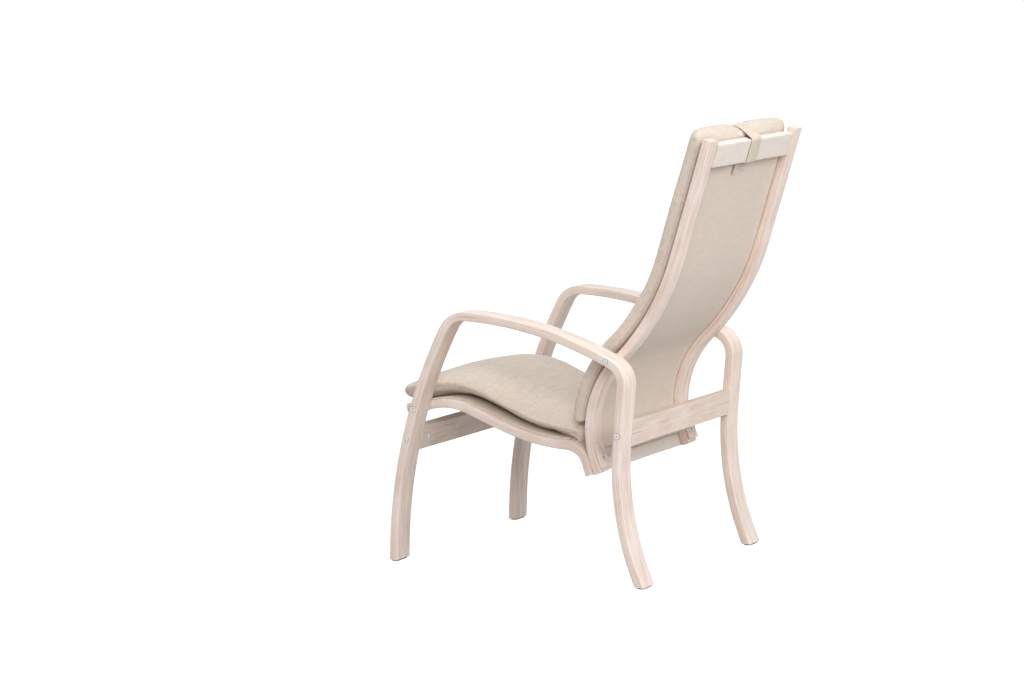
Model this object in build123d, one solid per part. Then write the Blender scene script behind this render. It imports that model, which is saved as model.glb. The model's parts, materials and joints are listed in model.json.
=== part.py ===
from build123d import *

import math
import os
from dataclasses import dataclass

# High-backed lounge armchair with bent-laminated sides, in millimetres.
# The chair stands on z = 0 and faces -Y, and +X is the sitter's left. The origin is the
# middle of the whole chair's footprint. Each side shape is a path in the Y-Z plane, made
# of straight runs and tangent turns, which then gets its width along X.

right_angle = 90.0

# Laminated stock
ply = 1.5
frame_plies = 13
rail_plies = 13
pad_plies = 5
edge_round = 2.5
bar_round = 2.5

# Widths, from the outside of the chair inwards
overall_width = 680.0
frame_width = 63.0
spacer_thickness = 6.0
rail_width = 45.0

# Side frame, from the front foot over the arm to the rear foot
front_foot_run = 41.0
front_leg_radius = 1150.0
front_leg_lean_angle = 25.6
frame_bend_radius = 53.5
arm_radius = 872.0
arm_fall_angle = 24.1
rear_leg_tuck_angle = 3.1
rear_leg_run = 121.0
rear_leg_radius = 648.0
glide_thickness = 3.0
glide_length = 52.0
glide_margin = 2.0

# Cross bars between the side frames, placed along the side frame
crossbar_height = 58.0
front_crossbar_rise = 281.0
rear_crossbar_drop = 107.0

# Back rail, from its lower end to its top
arm_bolt_setback = 7.8
arm_bolt_rise = 282.9
back_foot_kick_angle = 27.5
back_curve_radius = 222.0
back_curve_angle = 71.0
back_shoulder_radius = 537.0
back_rake_angle = 15.1
back_upper_run = 276.0

# Corner where the seat rail is bolted to the back rail
corner_bolt_rise = 31.0
corner_gap = 0.3
corner_pad_rise = 7.5
corner_pad_length = 62.0

# Seat rail, from the corner to its front end
seat_tail_drop = 30.0
seat_bend_radius = 51.0
seat_rear_rise_angle = 0.6
seat_hollow_radius = 490.0
seat_slope_angle = 19.8
seat_crest_radius = 146.0
seat_front_droop_angle = 11.7
seat_front_run = 74.7
seat_overhang = 52.0

# Bars between the rails, and the canvas sleeves round them
bar_clearance = 0.3
top_bar_height = 50.0
top_bar_drop = 37.0
lower_bar_height = 26.0
lower_bar_rise = 15.0
front_bar_height = 34.0
front_bar_setback = 24.0
canvas_thickness = 1.4
sleeve_end_gap = 5.0
sleeve_centre_gap = 58.0

# Canvas panels, with a welt along each side held in a groove of the rail
groove_width = 4.0
groove_depth = 5.0
panel_side_gap = 0.5
panel_lift = 0.3
welt_clearance = 0.3
back_panel_rise = 96.0
back_panel_foot = 50.0
seat_panel_rear_gap = 14.0
window_width = 84.0
window_height = 38.0

# Cushions: sizes at the middle of the width and at the edge seam
cushion_half_width = 254.0
cushion_steps = 7
cushion_gap = 1.0
seat_cushion_crown = 58.0
seat_cushion_rear_crown = 45.0
seat_cushion_edge_top = 43.0
seat_cushion_rear_edge_top = 29.0
seat_cushion_edge_lift = 10.0
seat_cushion_lap = 3.0
seat_cushion_droop_angle = 16.0
back_cushion_crown = 60.0
back_cushion_edge_top = 42.0
back_cushion_edge_lift = 10.0
back_cushion_top_drop = 12.0
seam_thickness = 12.0
corner_pull = 12.0
nose_bulge_share = 0.42
rear_bulge_share = 0.3

# Strap and tab that hold the back cushion to the top bar
strap_width = 52.0
strap_thickness = 2.4
strap_gap = 0.3
tab_width = 74.0
tab_height = 30.0
tab_thickness = 2.4

# Fasteners
bolt_diameter = 8.0
bolt_clearance = 0.5
thread_clearance = 0.15
head_diameter = 13.0
head_height = 7.0
head_clearance = 0.4
socket_width = 6.0
socket_depth = 4.0
tip_clearance = 3.0
spacer_diameter = 24.0
insert_diameter = 12.0
insert_length = 18.0
insert_clearance = 0.15
barrel_nut_diameter = 10.0
barrel_nut_inset = 36.0
barrel_nut_clearance = 0.15
barrel_nut_recess = 0.8
barrel_nut_grip = 8.0
sleeve_nut_diameter = 10.5
sleeve_nut_head_diameter = 15.0
sleeve_nut_head_height = 2.5
dowel_diameter = 8.0
dowel_clearance = 0.15
dowel_bite = 14.0
crossbar_dowel_spacing = 36.0
bar_dowel_spacing_share = 0.55
overrun = 5.0

# Legs of the side frame's path up to the end of its front leg, of its arm and of its rear
# bend, and legs of the seat's path up to the bend at its rear
front_leg_count = 2
arm_leg_count = 4
bend_leg_count = 5
seat_leg_count = 4

# Worked-out sizes
frame_thickness = ply * frame_plies
rail_thickness = ply * rail_plies
pad_thickness = ply * pad_plies
frame_outer = overall_width / 2
frame_inner = frame_outer - frame_width
rail_outer = frame_inner - spacer_thickness
rail_inner = rail_outer - rail_width
rail_middle = (rail_outer + rail_inner) / 2
rail_half = rail_thickness / 2
bar_thickness = rail_thickness - 2 * (canvas_thickness + bar_clearance)
back_top_heading = right_angle - back_rake_angle
base_lift = 2 * panel_lift + canvas_thickness


@dataclass(frozen=True)
class Place:
    """A point in the side plane, with the heading of the path through it in degrees."""

    y: float
    z: float
    heading: float

    def shifted(self, along=0.0, across=0.0):
        """Return the place moved along its heading and to the left of it."""
        angle = math.radians(self.heading)
        y = self.y + along * math.cos(angle) - across * math.sin(angle)
        z = self.z + along * math.sin(angle) + across * math.cos(angle)
        return Place(y, z, self.heading)

    def at(self, x):
        """Return the point at the given distance from the middle of the chair."""
        return Vector(x, self.y, self.z)


@dataclass(frozen=True)
class Leg:
    """A stretch of a path, straight when its sweep is zero, else turning left by the sweep."""

    length: float
    sweep: float = 0.0

    def step(self, start, distance):
        """Return the place at a distance along the leg from its start."""
        if self.sweep == 0:
            return start.shifted(along=distance)
        radius = self.length / math.radians(self.sweep)
        centre = start.shifted(across=radius)
        heading = start.heading + self.sweep * distance / self.length
        turned = Place(centre.y, centre.z, heading)
        return turned.shifted(across=-radius)

    def part(self, share):
        """Return the leg cut to a share of its length."""
        return Leg(self.length * share, self.sweep * share)


@dataclass(frozen=True)
class Path:
    """A smooth line in the side plane: a starting place and the legs that follow it."""

    start: Place
    legs: tuple = ()

    def run(self, length):
        """Return the path with a straight run added."""
        return Path(self.start, self.legs + (Leg(length),))

    def turn_to(self, radius, heading):
        """Return the path with a tangent turn added, up to the given heading."""
        sweep = heading - self.end.heading
        return Path(self.start, self.legs + (Leg(radius * math.radians(abs(sweep)), sweep),))

    @property
    def length(self):
        """Length of the whole path."""
        return sum(leg.length for leg in self.legs)

    @property
    def end(self):
        """Place at the end of the path."""
        return self.place(self.length)

    def stretches(self):
        """Return each leg with the place where it starts."""
        found = []
        place = self.start
        for leg in self.legs:
            found.append((place, leg))
            place = leg.step(place, leg.length)
        return found

    def place(self, distance):
        """Return the place at a distance from the start, on past either end if need be."""
        left = distance
        for start, leg in self.stretches():
            if left <= leg.length:
                return leg.step(start, left)
            left -= leg.length
        if not self.legs:
            return self.start
        return leg.step(start, leg.length + left)

    def between(self, first, last):
        """Return the part of the path between two distances from its start."""
        legs = []
        done = 0.0
        for _, leg in self.stretches():
            low = max(first, done)
            high = min(last, done + leg.length)
            if high > low:
                legs.append(leg.part((high - low) / leg.length))
            done += leg.length
        return Path(self.place(first), tuple(legs))

    def back_to_front(self):
        """Return the same line walked the other way."""
        end = self.end
        start = Place(end.y, end.z, end.heading + 2 * right_angle)
        return Path(start, tuple(Leg(leg.length, -leg.sweep) for leg in reversed(self.legs)))

    def moved(self, y, z):
        """Return the path moved in the side plane."""
        return Path(Place(self.start.y + y, self.start.z + z, self.start.heading), self.legs)

    def lengthened(self, before):
        """Return the path with its straight first leg made longer at its start."""
        first = Leg(self.legs[0].length + before)
        return Path(self.start.shifted(along=-before), (first,) + self.legs[1:])

    def reach(self, legs):
        """Return the distance from the start to the end of the first so many legs."""
        return sum(leg.length for leg in self.legs[:legs])


def solved(miss, low, high):
    """Return the value between low and high at which the miss changes sign."""
    rising = miss(low) < miss(high)
    for _ in range(50):
        middle = (low + high) / 2
        if (miss(middle) < 0) == rising:
            low = middle
        else:
            high = middle
    return (low + high) / 2


def at_height(path, z, first, last):
    """Return the place where a path passes a height, between two distances."""
    return path.place(solved(lambda distance: path.place(distance).z - z, first, last))


def curve(start, leg, x, across, drift=0.0):
    """Return one edge along a path's leg at x, drawn off to the left of it.

    The drift is how much further off the leg the edge lies at its end.
    """
    ends = []
    for share in (0, 0.5, 1):
        ends.append(leg.step(start, share * leg.length).shifted(across=across + share * drift).at(x))
    if leg.sweep == 0:
        return Edge.make_line(ends[0], ends[2])
    return Edge.make_three_point_arc(*ends)


def closing(corners, tip):
    """Return the edge that closes one end of an outline, bulging out to the tip if given."""
    if tip is None:
        return Edge.make_line(*corners)
    return Edge.make_three_point_arc(corners[0], tip, corners[1])


def outline(path, low, high, x, high_drift=0.0, front=0.0, rear=0.0):
    """Return the closed outline of a strip along a path, with its ends straight or bulging.

    The strip lies between two distances to the left of the path. Its high side drifts
    further off along the path, and each end bulges by the length given for it.
    """
    edges = []
    done = 0.0
    for start, leg in path.stretches():
        drift = high_drift / path.length
        edges.append(curve(start, leg, x, low))
        edges.append(curve(start, leg, x, high + drift * done, drift * leg.length))
        done += leg.length
    first = path.place(0)
    last = path.end
    far = high + high_drift
    first_tip = first.shifted(-front, (low + high) / 2).at(x) if front else None
    last_tip = last.shifted(rear, (low + far) / 2).at(x) if rear else None
    edges.append(closing([first.shifted(across=low).at(x), first.shifted(across=high).at(x)], first_tip))
    edges.append(closing([last.shifted(across=low).at(x), last.shifted(across=far).at(x)], last_tip))
    return Wire(edges)


def strip(path, low, high, x_low, x_high):
    """Return the solid strip along a path, between two offsets and two widths."""
    face = Face(outline(path, low, high, x_low))
    return Solid.extrude(face, Vector(x_high - x_low, 0, 0))


def soft_edges(solid, radius):
    """Return the solid with the edges of its two side faces rounded."""
    groups = solid.edges().group_by(Axis.X)
    return solid.fillet(radius, list(groups[0]) + list(groups[-1]))


def laminated(path, thickness, x_low, x_high):
    """Return a bent lamination that follows a path."""
    return soft_edges(strip(path, -thickness / 2, thickness / 2, x_low, x_high), edge_round)


def rod(place, x_low, x_high, diameter):
    """Return a rod along X between two distances from the middle of the chair."""
    body = Cylinder(diameter / 2, x_high - x_low)
    return Pos(Vector((x_low + x_high) / 2, place.y, place.z)) * Rot(Y=right_angle) * body


def across_rod(place, x, low, high, diameter):
    """Return a rod square to a path, between two distances to the left of it."""
    body = Cylinder(diameter / 2, high - low)
    middle = place.shifted(across=(low + high) / 2)
    return Pos(middle.at(x)) * Rot(X=place.heading) * body


def bar(place, height, thickness, x_low, x_high, radius):
    """Return a straight bar along X, its height along the path at the place."""
    body = Box(x_high - x_low, height, thickness)
    body = fillet(body.edges().filter_by(Axis.X), radius)
    return Pos(place.at((x_low + x_high) / 2)) * Rot(X=place.heading) * body


def cut(solid, *tools):
    """Return the solid with every tool cut out of it, as one plain solid."""
    left = solid
    for tool in tools:
        left = left - tool
    return left.solid()


def mirrored(solid):
    """Return the same piece for the other side of the chair."""
    return solid.mirror(Plane.YZ)


def both_sides(solids):
    """Return the pieces followed by their mirror images."""
    return list(solids) + [mirrored(solid) for solid in solids]


def frame_path():
    """Return the centre line of a side frame, walked from the front foot to the rear foot."""
    path = Path(Place(0, 0, right_angle)).run(front_foot_run)
    path = path.turn_to(front_leg_radius, right_angle - front_leg_lean_angle)
    path = path.turn_to(frame_bend_radius, 0)
    path = path.turn_to(arm_radius, -arm_fall_angle)
    path = path.turn_to(frame_bend_radius, -right_angle - rear_leg_tuck_angle)
    path = path.run(rear_leg_run)
    centre = path.end.shifted(across=rear_leg_radius)
    drop = centre.z + frame_thickness
    return path.turn_to(rear_leg_radius, -math.degrees(math.acos(drop / rear_leg_radius)))


def arm_bolt_place(frame):
    """Return the place of the bolt through the rear end of the arm."""
    return frame.place(frame.reach(arm_leg_count) - arm_bolt_setback)


def back_path(frame):
    """Return the centre line of a back rail, walked from its lower end to its top."""
    path = Path(Place(0, 0, right_angle + back_foot_kick_angle))
    path = path.turn_to(back_curve_radius, right_angle + back_foot_kick_angle - back_curve_angle)
    path = path.turn_to(back_shoulder_radius, back_top_heading)
    path = path.run(back_upper_run)
    bolt = arm_bolt_place(frame)
    own = path.place(arm_bolt_rise)
    return path.moved(bolt.y - own.y, bolt.z - own.z)


def seat_path(frame, back):
    """Return the centre line of a seat rail, walked from its front end to its tail.

    The tail lies against the lower end of the back rail. The slope of the seat is as long as
    it takes for the rail to cross the front leg and stand out in front of it by the overhang.
    """
    corner = back.place(corner_bolt_rise).shifted(across=rail_thickness + corner_gap)
    rear = Path(corner.shifted(along=-seat_tail_drop)).run(seat_tail_drop)
    rear = rear.turn_to(seat_bend_radius, 2 * right_angle - seat_rear_rise_angle)
    rear = rear.turn_to(seat_hollow_radius, 2 * right_angle - seat_slope_angle)

    def whole(slope_run):
        front = rear.run(slope_run).turn_to(seat_crest_radius, 2 * right_angle + seat_front_droop_angle)
        return front.run(seat_front_run)

    def miss(slope_run):
        path = whole(slope_run)
        place = path.place(path.length - seat_overhang)
        return place.y - at_height(frame, place.z, 0, frame.reach(front_leg_count)).y

    return whole(solved(miss, 0, frame_outer)).back_to_front()


@dataclass(frozen=True)
class Layout:
    """The centre lines of the chair, and the places and distances that its pieces share."""

    frame: Path
    back: Path
    seat: Path

    @property
    def rear_leg_start(self):
        """Distance along the side frame to the top of the rear leg."""
        return self.frame.reach(bend_leg_count)

    @property
    def arm_bolt(self):
        """Place of the bolt through the arm."""
        return arm_bolt_place(self.frame)

    @property
    def seat_bolt(self):
        """Place of the bolt through the front leg."""
        return self.seat.place(seat_overhang)

    @property
    def top_bar(self):
        """Place of the bar across the top of the back."""
        return self.back.place(self.back.length - top_bar_drop)

    @property
    def front_bar(self):
        """Place of the bar across the front of the seat."""
        return self.seat.place(front_bar_setback)

    @property
    def lower_bar(self):
        """Place of the bar across the rear corner."""
        return self.seat.place(self.seat.length - lower_bar_rise)

    @property
    def seat_bend_start(self):
        """Distance along the seat rail to the start of the bend at its rear."""
        return self.seat.reach(seat_leg_count)

    @property
    def seat_tail_start(self):
        """Distance along the seat rail to the end of the bend at its rear."""
        return self.seat.length - seat_tail_drop

    @property
    def back_groove_end(self):
        """Distance along the back rail to the lower edge of the top bar."""
        return self.back.length - top_bar_drop - top_bar_height / 2

    @property
    def seat_groove_start(self):
        """Distance along the seat rail to the rear edge of the front bar."""
        return front_bar_setback + front_bar_height / 2

    @property
    def seat_groove_end(self):
        """Distance along the seat rail to the rear end of its groove."""
        return self.seat_bend_start - seat_panel_rear_gap


def layout():
    """Return the layout of the chair."""
    frame = frame_path()
    back = back_path(frame)
    return Layout(frame, back, seat_path(frame, back))


def bolt(length):
    """Return a socket bolt along Z, the underside of its head at zero and the shank below."""
    shank = Pos(0, 0, -length / 2) * Cylinder(bolt_diameter / 2, length)
    head = Pos(0, 0, head_height / 2) * Cylinder(head_diameter / 2, head_height)
    socket = extrude(RegularPolygon(socket_width / 2, 6, major_radius=False), socket_depth + overrun)
    return cut(shank + head, Pos(0, 0, head_height - socket_depth) * socket)


def side_bolt(place, tip_x):
    """Return a bolt driven in from the outside of the chair, and the tools for its hole."""
    seat_x = frame_outer - head_height
    body = Pos(place.at(seat_x)) * Rot(Y=right_angle) * bolt(seat_x - tip_x)
    hole = rod(place, tip_x - tip_clearance, frame_outer + overrun, bolt_diameter + bolt_clearance)
    sink = rod(place, seat_x, frame_outer + overrun, head_diameter + head_clearance)
    return body, [hole, sink]


def threaded_insert(place):
    """Return the insert set into the outside of a rail, and the tool for its hole."""
    bottom = rail_outer - insert_length
    body = rod(place, bottom, rail_outer, insert_diameter)
    bore = rod(place, bottom - overrun, rail_outer + overrun, bolt_diameter + 2 * thread_clearance)
    hole = rod(place, bottom, rail_outer + overrun, insert_diameter + 2 * insert_clearance)
    return cut(body, bore), hole


def spacer(place):
    """Return the washer that holds a rail clear of the side frame."""
    body = rod(place, rail_outer, frame_inner, spacer_diameter)
    bore = rod(place, rail_outer - overrun, frame_inner + overrun, bolt_diameter + bolt_clearance)
    return cut(body, bore)


def barrel_nut(place):
    """Return the cross nut near the end of a cross bar, and the tool for its hole.

    The nut lies square to the bolt, and its slotted end shows on the front of the bar.
    """
    x = frame_inner - barrel_nut_inset
    half = frame_thickness / 2
    shown = barrel_nut_recess - half
    hidden = half - barrel_nut_grip / 2
    body = across_rod(place, x, shown, hidden, barrel_nut_diameter)
    bore = rod(place, x - barrel_nut_diameter, x + barrel_nut_diameter, bolt_diameter + 2 * thread_clearance)
    slot = Box(barrel_nut_diameter, barrel_nut_recess, 2 * barrel_nut_recess)
    slot = Pos(place.shifted(across=shown).at(x)) * Rot(X=place.heading) * slot
    diameter = barrel_nut_diameter + 2 * barrel_nut_clearance
    hole = across_rod(place, x, -half - overrun, hidden, diameter)
    return cut(body, bore, slot), hole


def dowels(place, spacing, x_joint, bite_out, bite_in):
    """Return two dowels across a joint at x, side by side along the path, and their holes."""
    pins = []
    holes = []
    for side in (-1, 1):
        spot = place.shifted(along=side * spacing / 2)
        pins.append(rod(spot, x_joint - bite_in, x_joint + bite_out, dowel_diameter).solid())
        low = x_joint - bite_in - dowel_clearance
        high = x_joint + bite_out + dowel_clearance
        holes.append(rod(spot, low, high, dowel_diameter + 2 * dowel_clearance))
    return pins, holes


def corner_fastener(back):
    """Return the corner bolt, its sleeve nut and the tools for their holes."""
    place = back.place(corner_bolt_rise)
    rear_face = -rail_half - pad_thickness
    front_face = rail_half + corner_gap + rail_thickness
    seat = rear_face + head_height
    length = front_face - seat - sleeve_nut_head_height
    turned = Rot(X=place.heading + 2 * right_angle)
    body = Pos(place.shifted(across=seat).at(rail_middle)) * turned * bolt(length)
    bolt_size = bolt_diameter + bolt_clearance
    hole = across_rod(place, rail_middle, rear_face - overrun, front_face + overrun, bolt_size)
    sink = across_rod(place, rail_middle, rear_face - overrun, seat, head_diameter + head_clearance)
    shank_start = front_face - rail_thickness + overrun
    head_start = front_face - sleeve_nut_head_height
    shank = across_rod(place, rail_middle, shank_start, head_start, sleeve_nut_diameter)
    head = across_rod(place, rail_middle, head_start, front_face, sleeve_nut_head_diameter)
    bore_size = bolt_diameter + 2 * thread_clearance
    bore = across_rod(place, rail_middle, shank_start - overrun, head_start, bore_size)
    nut = cut(shank + head, bore)
    nut_hole = across_rod(
        place, rail_middle, shank_start, front_face + overrun, sleeve_nut_diameter + head_clearance
    )
    nut_sink = across_rod(
        place, rail_middle, head_start, front_face + overrun, sleeve_nut_head_diameter + head_clearance
    )
    return body, nut, [hole, sink], [hole, nut_hole, nut_sink]


def groove(path, first, last):
    """Return the tool for the welt groove in the sitter's side of a rail."""
    middle = rail_middle
    low = rail_half - groove_depth
    part = path.between(first, last)
    return strip(part, low, rail_half + overrun, middle - groove_width / 2, middle + groove_width / 2)


def panel(path, first, last):
    """Return a canvas panel laid over the inner halves of two rails, with a welt down each side."""
    part = path.between(first, last)
    low = rail_half + panel_lift
    welt_half = groove_width / 2 - welt_clearance
    edge = rail_middle + welt_half
    sheet = strip(part, low, low + canvas_thickness, -edge, edge)
    welt_low = rail_half - groove_depth + welt_clearance
    welt = strip(part, welt_low, low + canvas_thickness, rail_middle - welt_half, edge)
    return sheet + welt + mirrored(welt)


def panel_tongue(path, first, last):
    """Return a canvas panel as wide as the space between the rails."""
    half = rail_inner - panel_side_gap
    low = rail_half + panel_lift
    return strip(path.between(first, last), low, low + canvas_thickness, -half, half)


def sleeve(place, height, x_low, x_high):
    """Return a canvas sleeve round a bar."""
    outer = bar(
        place,
        height + 2 * (canvas_thickness + bar_clearance),
        bar_thickness + 2 * (canvas_thickness + bar_clearance),
        x_low,
        x_high,
        bar_round + canvas_thickness + bar_clearance,
    )
    inner = bar(
        place,
        height + 2 * bar_clearance,
        bar_thickness + 2 * bar_clearance,
        x_low - overrun,
        x_high + overrun,
        bar_round + bar_clearance,
    )
    return cut(outer, inner)


def wooden_bar(place, height):
    """Return a bar between two rails, its dowels on both sides and the rails' dowel holes."""
    body = bar(place, height, bar_thickness, -rail_inner, rail_inner, bar_round)
    pins, holes = dowels(place, height * bar_dowel_spacing_share, rail_inner, dowel_bite, dowel_bite)
    body = cut(body, *both_sides(holes))
    return body, both_sides(pins), holes


@dataclass(frozen=True)
class Pad:
    """Heights of a cushion above the rails, at the middle of its width and at its seam.

    The drifts are how much higher its top is at the end of its path than at the start.
    """

    crown: float
    edge_top: float
    edge_lift: float
    crown_drift: float = 0.0
    edge_drift: float = 0.0

    def heights(self, full, crown, edge_top):
        """Return the low and high side where the pad is full to the given share."""
        seam = (edge_top + self.edge_lift) / 2
        squash = math.sqrt(full)
        side = (edge_top - self.edge_lift) / 2 * squash + seam_thickness / 2 * (1 - squash)
        high = seam + side + (crown - edge_top) * full
        low = seam - side + (base_lift - self.edge_lift) * full
        return rail_half + low, rail_half + high

    def band(self, full):
        """Return the low side, the high side and the drift of the high side at a fullness."""
        low, high = self.heights(full, self.crown, self.edge_top)
        _, far = self.heights(full, self.crown + self.crown_drift, self.edge_top + self.edge_drift)
        return low, high, far - high


def cushion(path, pad, front_share, rear_share, middle_start=0.0):
    """Return a cushion along a path, full in the middle and drawn in to a seam at each side.

    Its ends bulge by a share of its thickness. The middle start is how much further along
    the path it begins at the middle of its width than at its sides.
    """
    sections = []
    for step in range(cushion_steps + 1):
        station = math.sin(math.radians(right_angle * step / cushion_steps))
        full = 1 - station**4
        pull = corner_pull * (1 - full) ** 4
        part = path.between(middle_start * full + pull, path.length - pull)
        low, high, drift = pad.band(full)
        bulges = (front_share * (high - low), rear_share * (high + drift - low))
        sections.append((station * cushion_half_width, part, low, high, drift, bulges))
    sections = [(-x, *rest) for x, *rest in reversed(sections[1:])] + sections
    wires = []
    for x, part, low, high, drift, bulges in sections:
        wires.append(outline(part, low, high, x, drift, *bulges))
    return Solid.make_loft(wires, ruled=True)


def seat_cushion_path(lines):
    """Return the line under the seat cushion, drooping at its rear towards the back rail."""
    path = lines.seat.between(0, lines.seat_bend_start).lengthened(seat_cushion_lap)
    nearest = lines.back.place(back_curve_radius * math.radians(back_foot_kick_angle))
    face = nearest.y - rail_half - panel_lift - canvas_thickness - cushion_gap
    bulge = rear_bulge_share * (seat_cushion_rear_crown - base_lift)
    middle = rail_half + (seat_cushion_rear_crown + base_lift) / 2

    def miss(radius):
        end = path.turn_to(radius, path.end.heading - seat_cushion_droop_angle).end
        return end.shifted(bulge, middle).y - face

    radius = solved(miss, seat_bend_radius, frame_outer)
    return path.turn_to(radius, path.end.heading - seat_cushion_droop_angle)


def seat_cushion(lines):
    """Return the seat cushion."""
    pad = Pad(
        seat_cushion_crown,
        seat_cushion_edge_top,
        seat_cushion_edge_lift,
        seat_cushion_rear_crown - seat_cushion_crown,
        seat_cushion_rear_edge_top - seat_cushion_edge_top,
    )
    return cushion(seat_cushion_path(lines), pad, nose_bulge_share, rear_bulge_share)


def back_cushion(lines):
    """Return the back cushion, whose foot stands on the rear of the seat cushion."""
    pad = Pad(back_cushion_crown, back_cushion_edge_top, back_cushion_edge_lift)
    side_bulge = rear_bulge_share * (back_cushion_edge_top - back_cushion_edge_lift)
    middle_bulge = rear_bulge_share * (back_cushion_crown - base_lift)
    under = lines.seat.place(lines.seat_bend_start).z + rail_half
    foot_z = under + seat_cushion_rear_edge_top + cushion_gap + side_bulge
    foot = solved(lambda distance: lines.back.place(distance).z - foot_z, 0, arm_bolt_rise)
    middle_start = seat_cushion_rear_crown + middle_bulge - seat_cushion_rear_edge_top - side_bulge
    path = lines.back.between(foot, lines.back.length - back_cushion_top_drop)
    return cushion(path, pad, rear_bulge_share, nose_bulge_share, middle_start)


def cushion_strap(place):
    """Return the strap from the top of the back cushion round the rear of the top bar."""
    off = strap_gap + strap_thickness / 2
    reach = rail_half + panel_lift + canvas_thickness
    turn = bar_round + off
    start = place.shifted(top_bar_height / 2 + off, reach)
    path = Path(Place(start.y, start.z, place.heading - right_angle))
    path = path.run(reach + bar_thickness / 2 - bar_round)
    path = path.turn_to(turn, path.end.heading - right_angle)
    path = path.run(top_bar_height - 2 * bar_round)
    path = path.turn_to(turn, path.end.heading - right_angle)
    path = path.run(reach + bar_thickness / 2 - bar_round)
    return strip(path, -strap_thickness / 2, strap_thickness / 2, -strap_width / 2, strap_width / 2)


def strap_tab(place):
    """Return the tab in the window of the back panel, under the end of the strap."""
    high = rail_half + panel_lift + canvas_thickness
    top = top_bar_height / 2 + strap_gap + strap_thickness + strap_gap
    middle = place.shifted(-top - tab_height / 2, high - tab_thickness / 2)
    body = Box(tab_width, tab_height, tab_thickness)
    return Pos(middle.at(0)) * Rot(X=place.heading) * body


def side_frames(lines, tools):
    """Return the side frames, with their feet cut level at the height of the glides."""
    side = strip(lines.frame, -frame_thickness / 2, frame_thickness / 2, frame_inner, frame_outer)
    floor = Box(2 * overall_width, lines.frame.length, 2 * overall_width)
    side = cut(side, Pos(0, 0, glide_thickness - overall_width) * floor)
    side = cut(soft_edges(side, edge_round), *tools)
    return {"side_frame_left": [side], "side_frame_right": [mirrored(side)]}


def crossbars(lines):
    """Return the cross bars with their bolts, nuts and dowels, and the holes in the left side."""
    nodes = {"crossbar_bolts": [], "barrel_nuts": [], "crossbar_dowels": []}
    tools = []
    for name, distance in (
        ("front_crossbar", front_crossbar_rise),
        ("rear_crossbar", lines.rear_leg_start + rear_crossbar_drop),
    ):
        place = lines.frame.place(distance)
        body = bar(place, crossbar_height, frame_thickness, -frame_inner, frame_inner, edge_round)
        nut, nut_hole = barrel_nut(place)
        screw, holes = side_bolt(place, frame_inner - barrel_nut_inset - barrel_nut_diameter)
        pins, pin_holes = dowels(place, crossbar_dowel_spacing, frame_inner, dowel_bite, dowel_bite)
        nodes[name] = [cut(body, *both_sides([nut_hole, *holes, *pin_holes]))]
        nodes["crossbar_bolts"] += both_sides([screw])
        nodes["barrel_nuts"] += both_sides([nut])
        nodes["crossbar_dowels"] += both_sides(pins)
        tools += holes + pin_holes
    return nodes, tools


def rail_hangers(lines):
    """Return what hangs the rails in the side frames, and the holes in side, back and seat."""
    tip = rail_outer - insert_length + tip_clearance
    arm_bolt, arm_holes = side_bolt(lines.arm_bolt, tip)
    seat_bolt, seat_holes = side_bolt(lines.seat_bolt, tip)
    back_insert, back_hole = threaded_insert(lines.arm_bolt)
    seat_insert, seat_hole = threaded_insert(lines.seat_bolt)
    nodes = {
        "arm_bolts": both_sides([arm_bolt]),
        "seat_bolts": both_sides([seat_bolt]),
        "threaded_inserts": both_sides([back_insert, seat_insert]),
        "spacer_washers": both_sides([spacer(lines.arm_bolt), spacer(lines.seat_bolt)]),
    }
    return nodes, arm_holes + seat_holes, back_hole, seat_hole


def bars(lines):
    """Return the bars between the rails, and the dowel holes in the back and seat rails."""
    top_bar, top_pins, top_holes = wooden_bar(lines.top_bar, top_bar_height)
    front_bar, front_pins, front_holes = wooden_bar(lines.front_bar, front_bar_height)
    lower_bar, lower_pins, lower_holes = wooden_bar(lines.lower_bar, lower_bar_height)
    nodes = {
        "back_top_bar": [top_bar],
        "seat_front_bar": [front_bar],
        "seat_rear_bar": [lower_bar],
        "bar_dowels": top_pins + front_pins + lower_pins,
    }
    return nodes, top_holes, front_holes + lower_holes


def rails(lines, back_tools, seat_tools):
    """Return the rails with their grooves and the bolted corner that joins them."""
    corner_bolt, corner_nut, back_holes, tail_holes = corner_fastener(lines.back)
    back_rail = laminated(lines.back, rail_thickness, rail_inner, rail_outer)
    back_groove = groove(lines.back, back_panel_rise, lines.back_groove_end)
    back_rail = cut(back_rail, back_groove, *back_holes, *back_tools)
    seat_rail = laminated(lines.seat, rail_thickness, rail_inner, rail_outer)
    seat_groove = groove(lines.seat, lines.seat_groove_start, lines.seat_groove_end)
    seat_rail = cut(seat_rail, seat_groove, *tail_holes, *seat_tools)
    pad_path = lines.back.between(corner_pad_rise, corner_pad_rise + corner_pad_length)
    pad = strip(pad_path, -rail_half - pad_thickness, -rail_half, rail_inner, rail_outer)
    return {
        "back_rail_left": [back_rail],
        "back_rail_right": [mirrored(back_rail)],
        "seat_rail_left": [seat_rail],
        "seat_rail_right": [mirrored(seat_rail)],
        "corner_pads": both_sides([cut(pad, *back_holes)]),
        "corner_bolts": both_sides([corner_bolt]),
        "corner_nuts": both_sides([corner_nut]),
    }


def sleeves(lines):
    """Return the canvas sleeves of the three bars."""
    outer = rail_inner - sleeve_end_gap
    left = sleeve(lines.top_bar, top_bar_height, sleeve_centre_gap / 2, outer)
    return {
        "top_sleeve_left": [left],
        "top_sleeve_right": [mirrored(left)],
        "front_sleeve": [sleeve(lines.front_bar, front_bar_height, -outer, outer)],
        "lower_sleeve": [sleeve(lines.lower_bar, lower_bar_height, -outer, outer)],
    }


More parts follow.
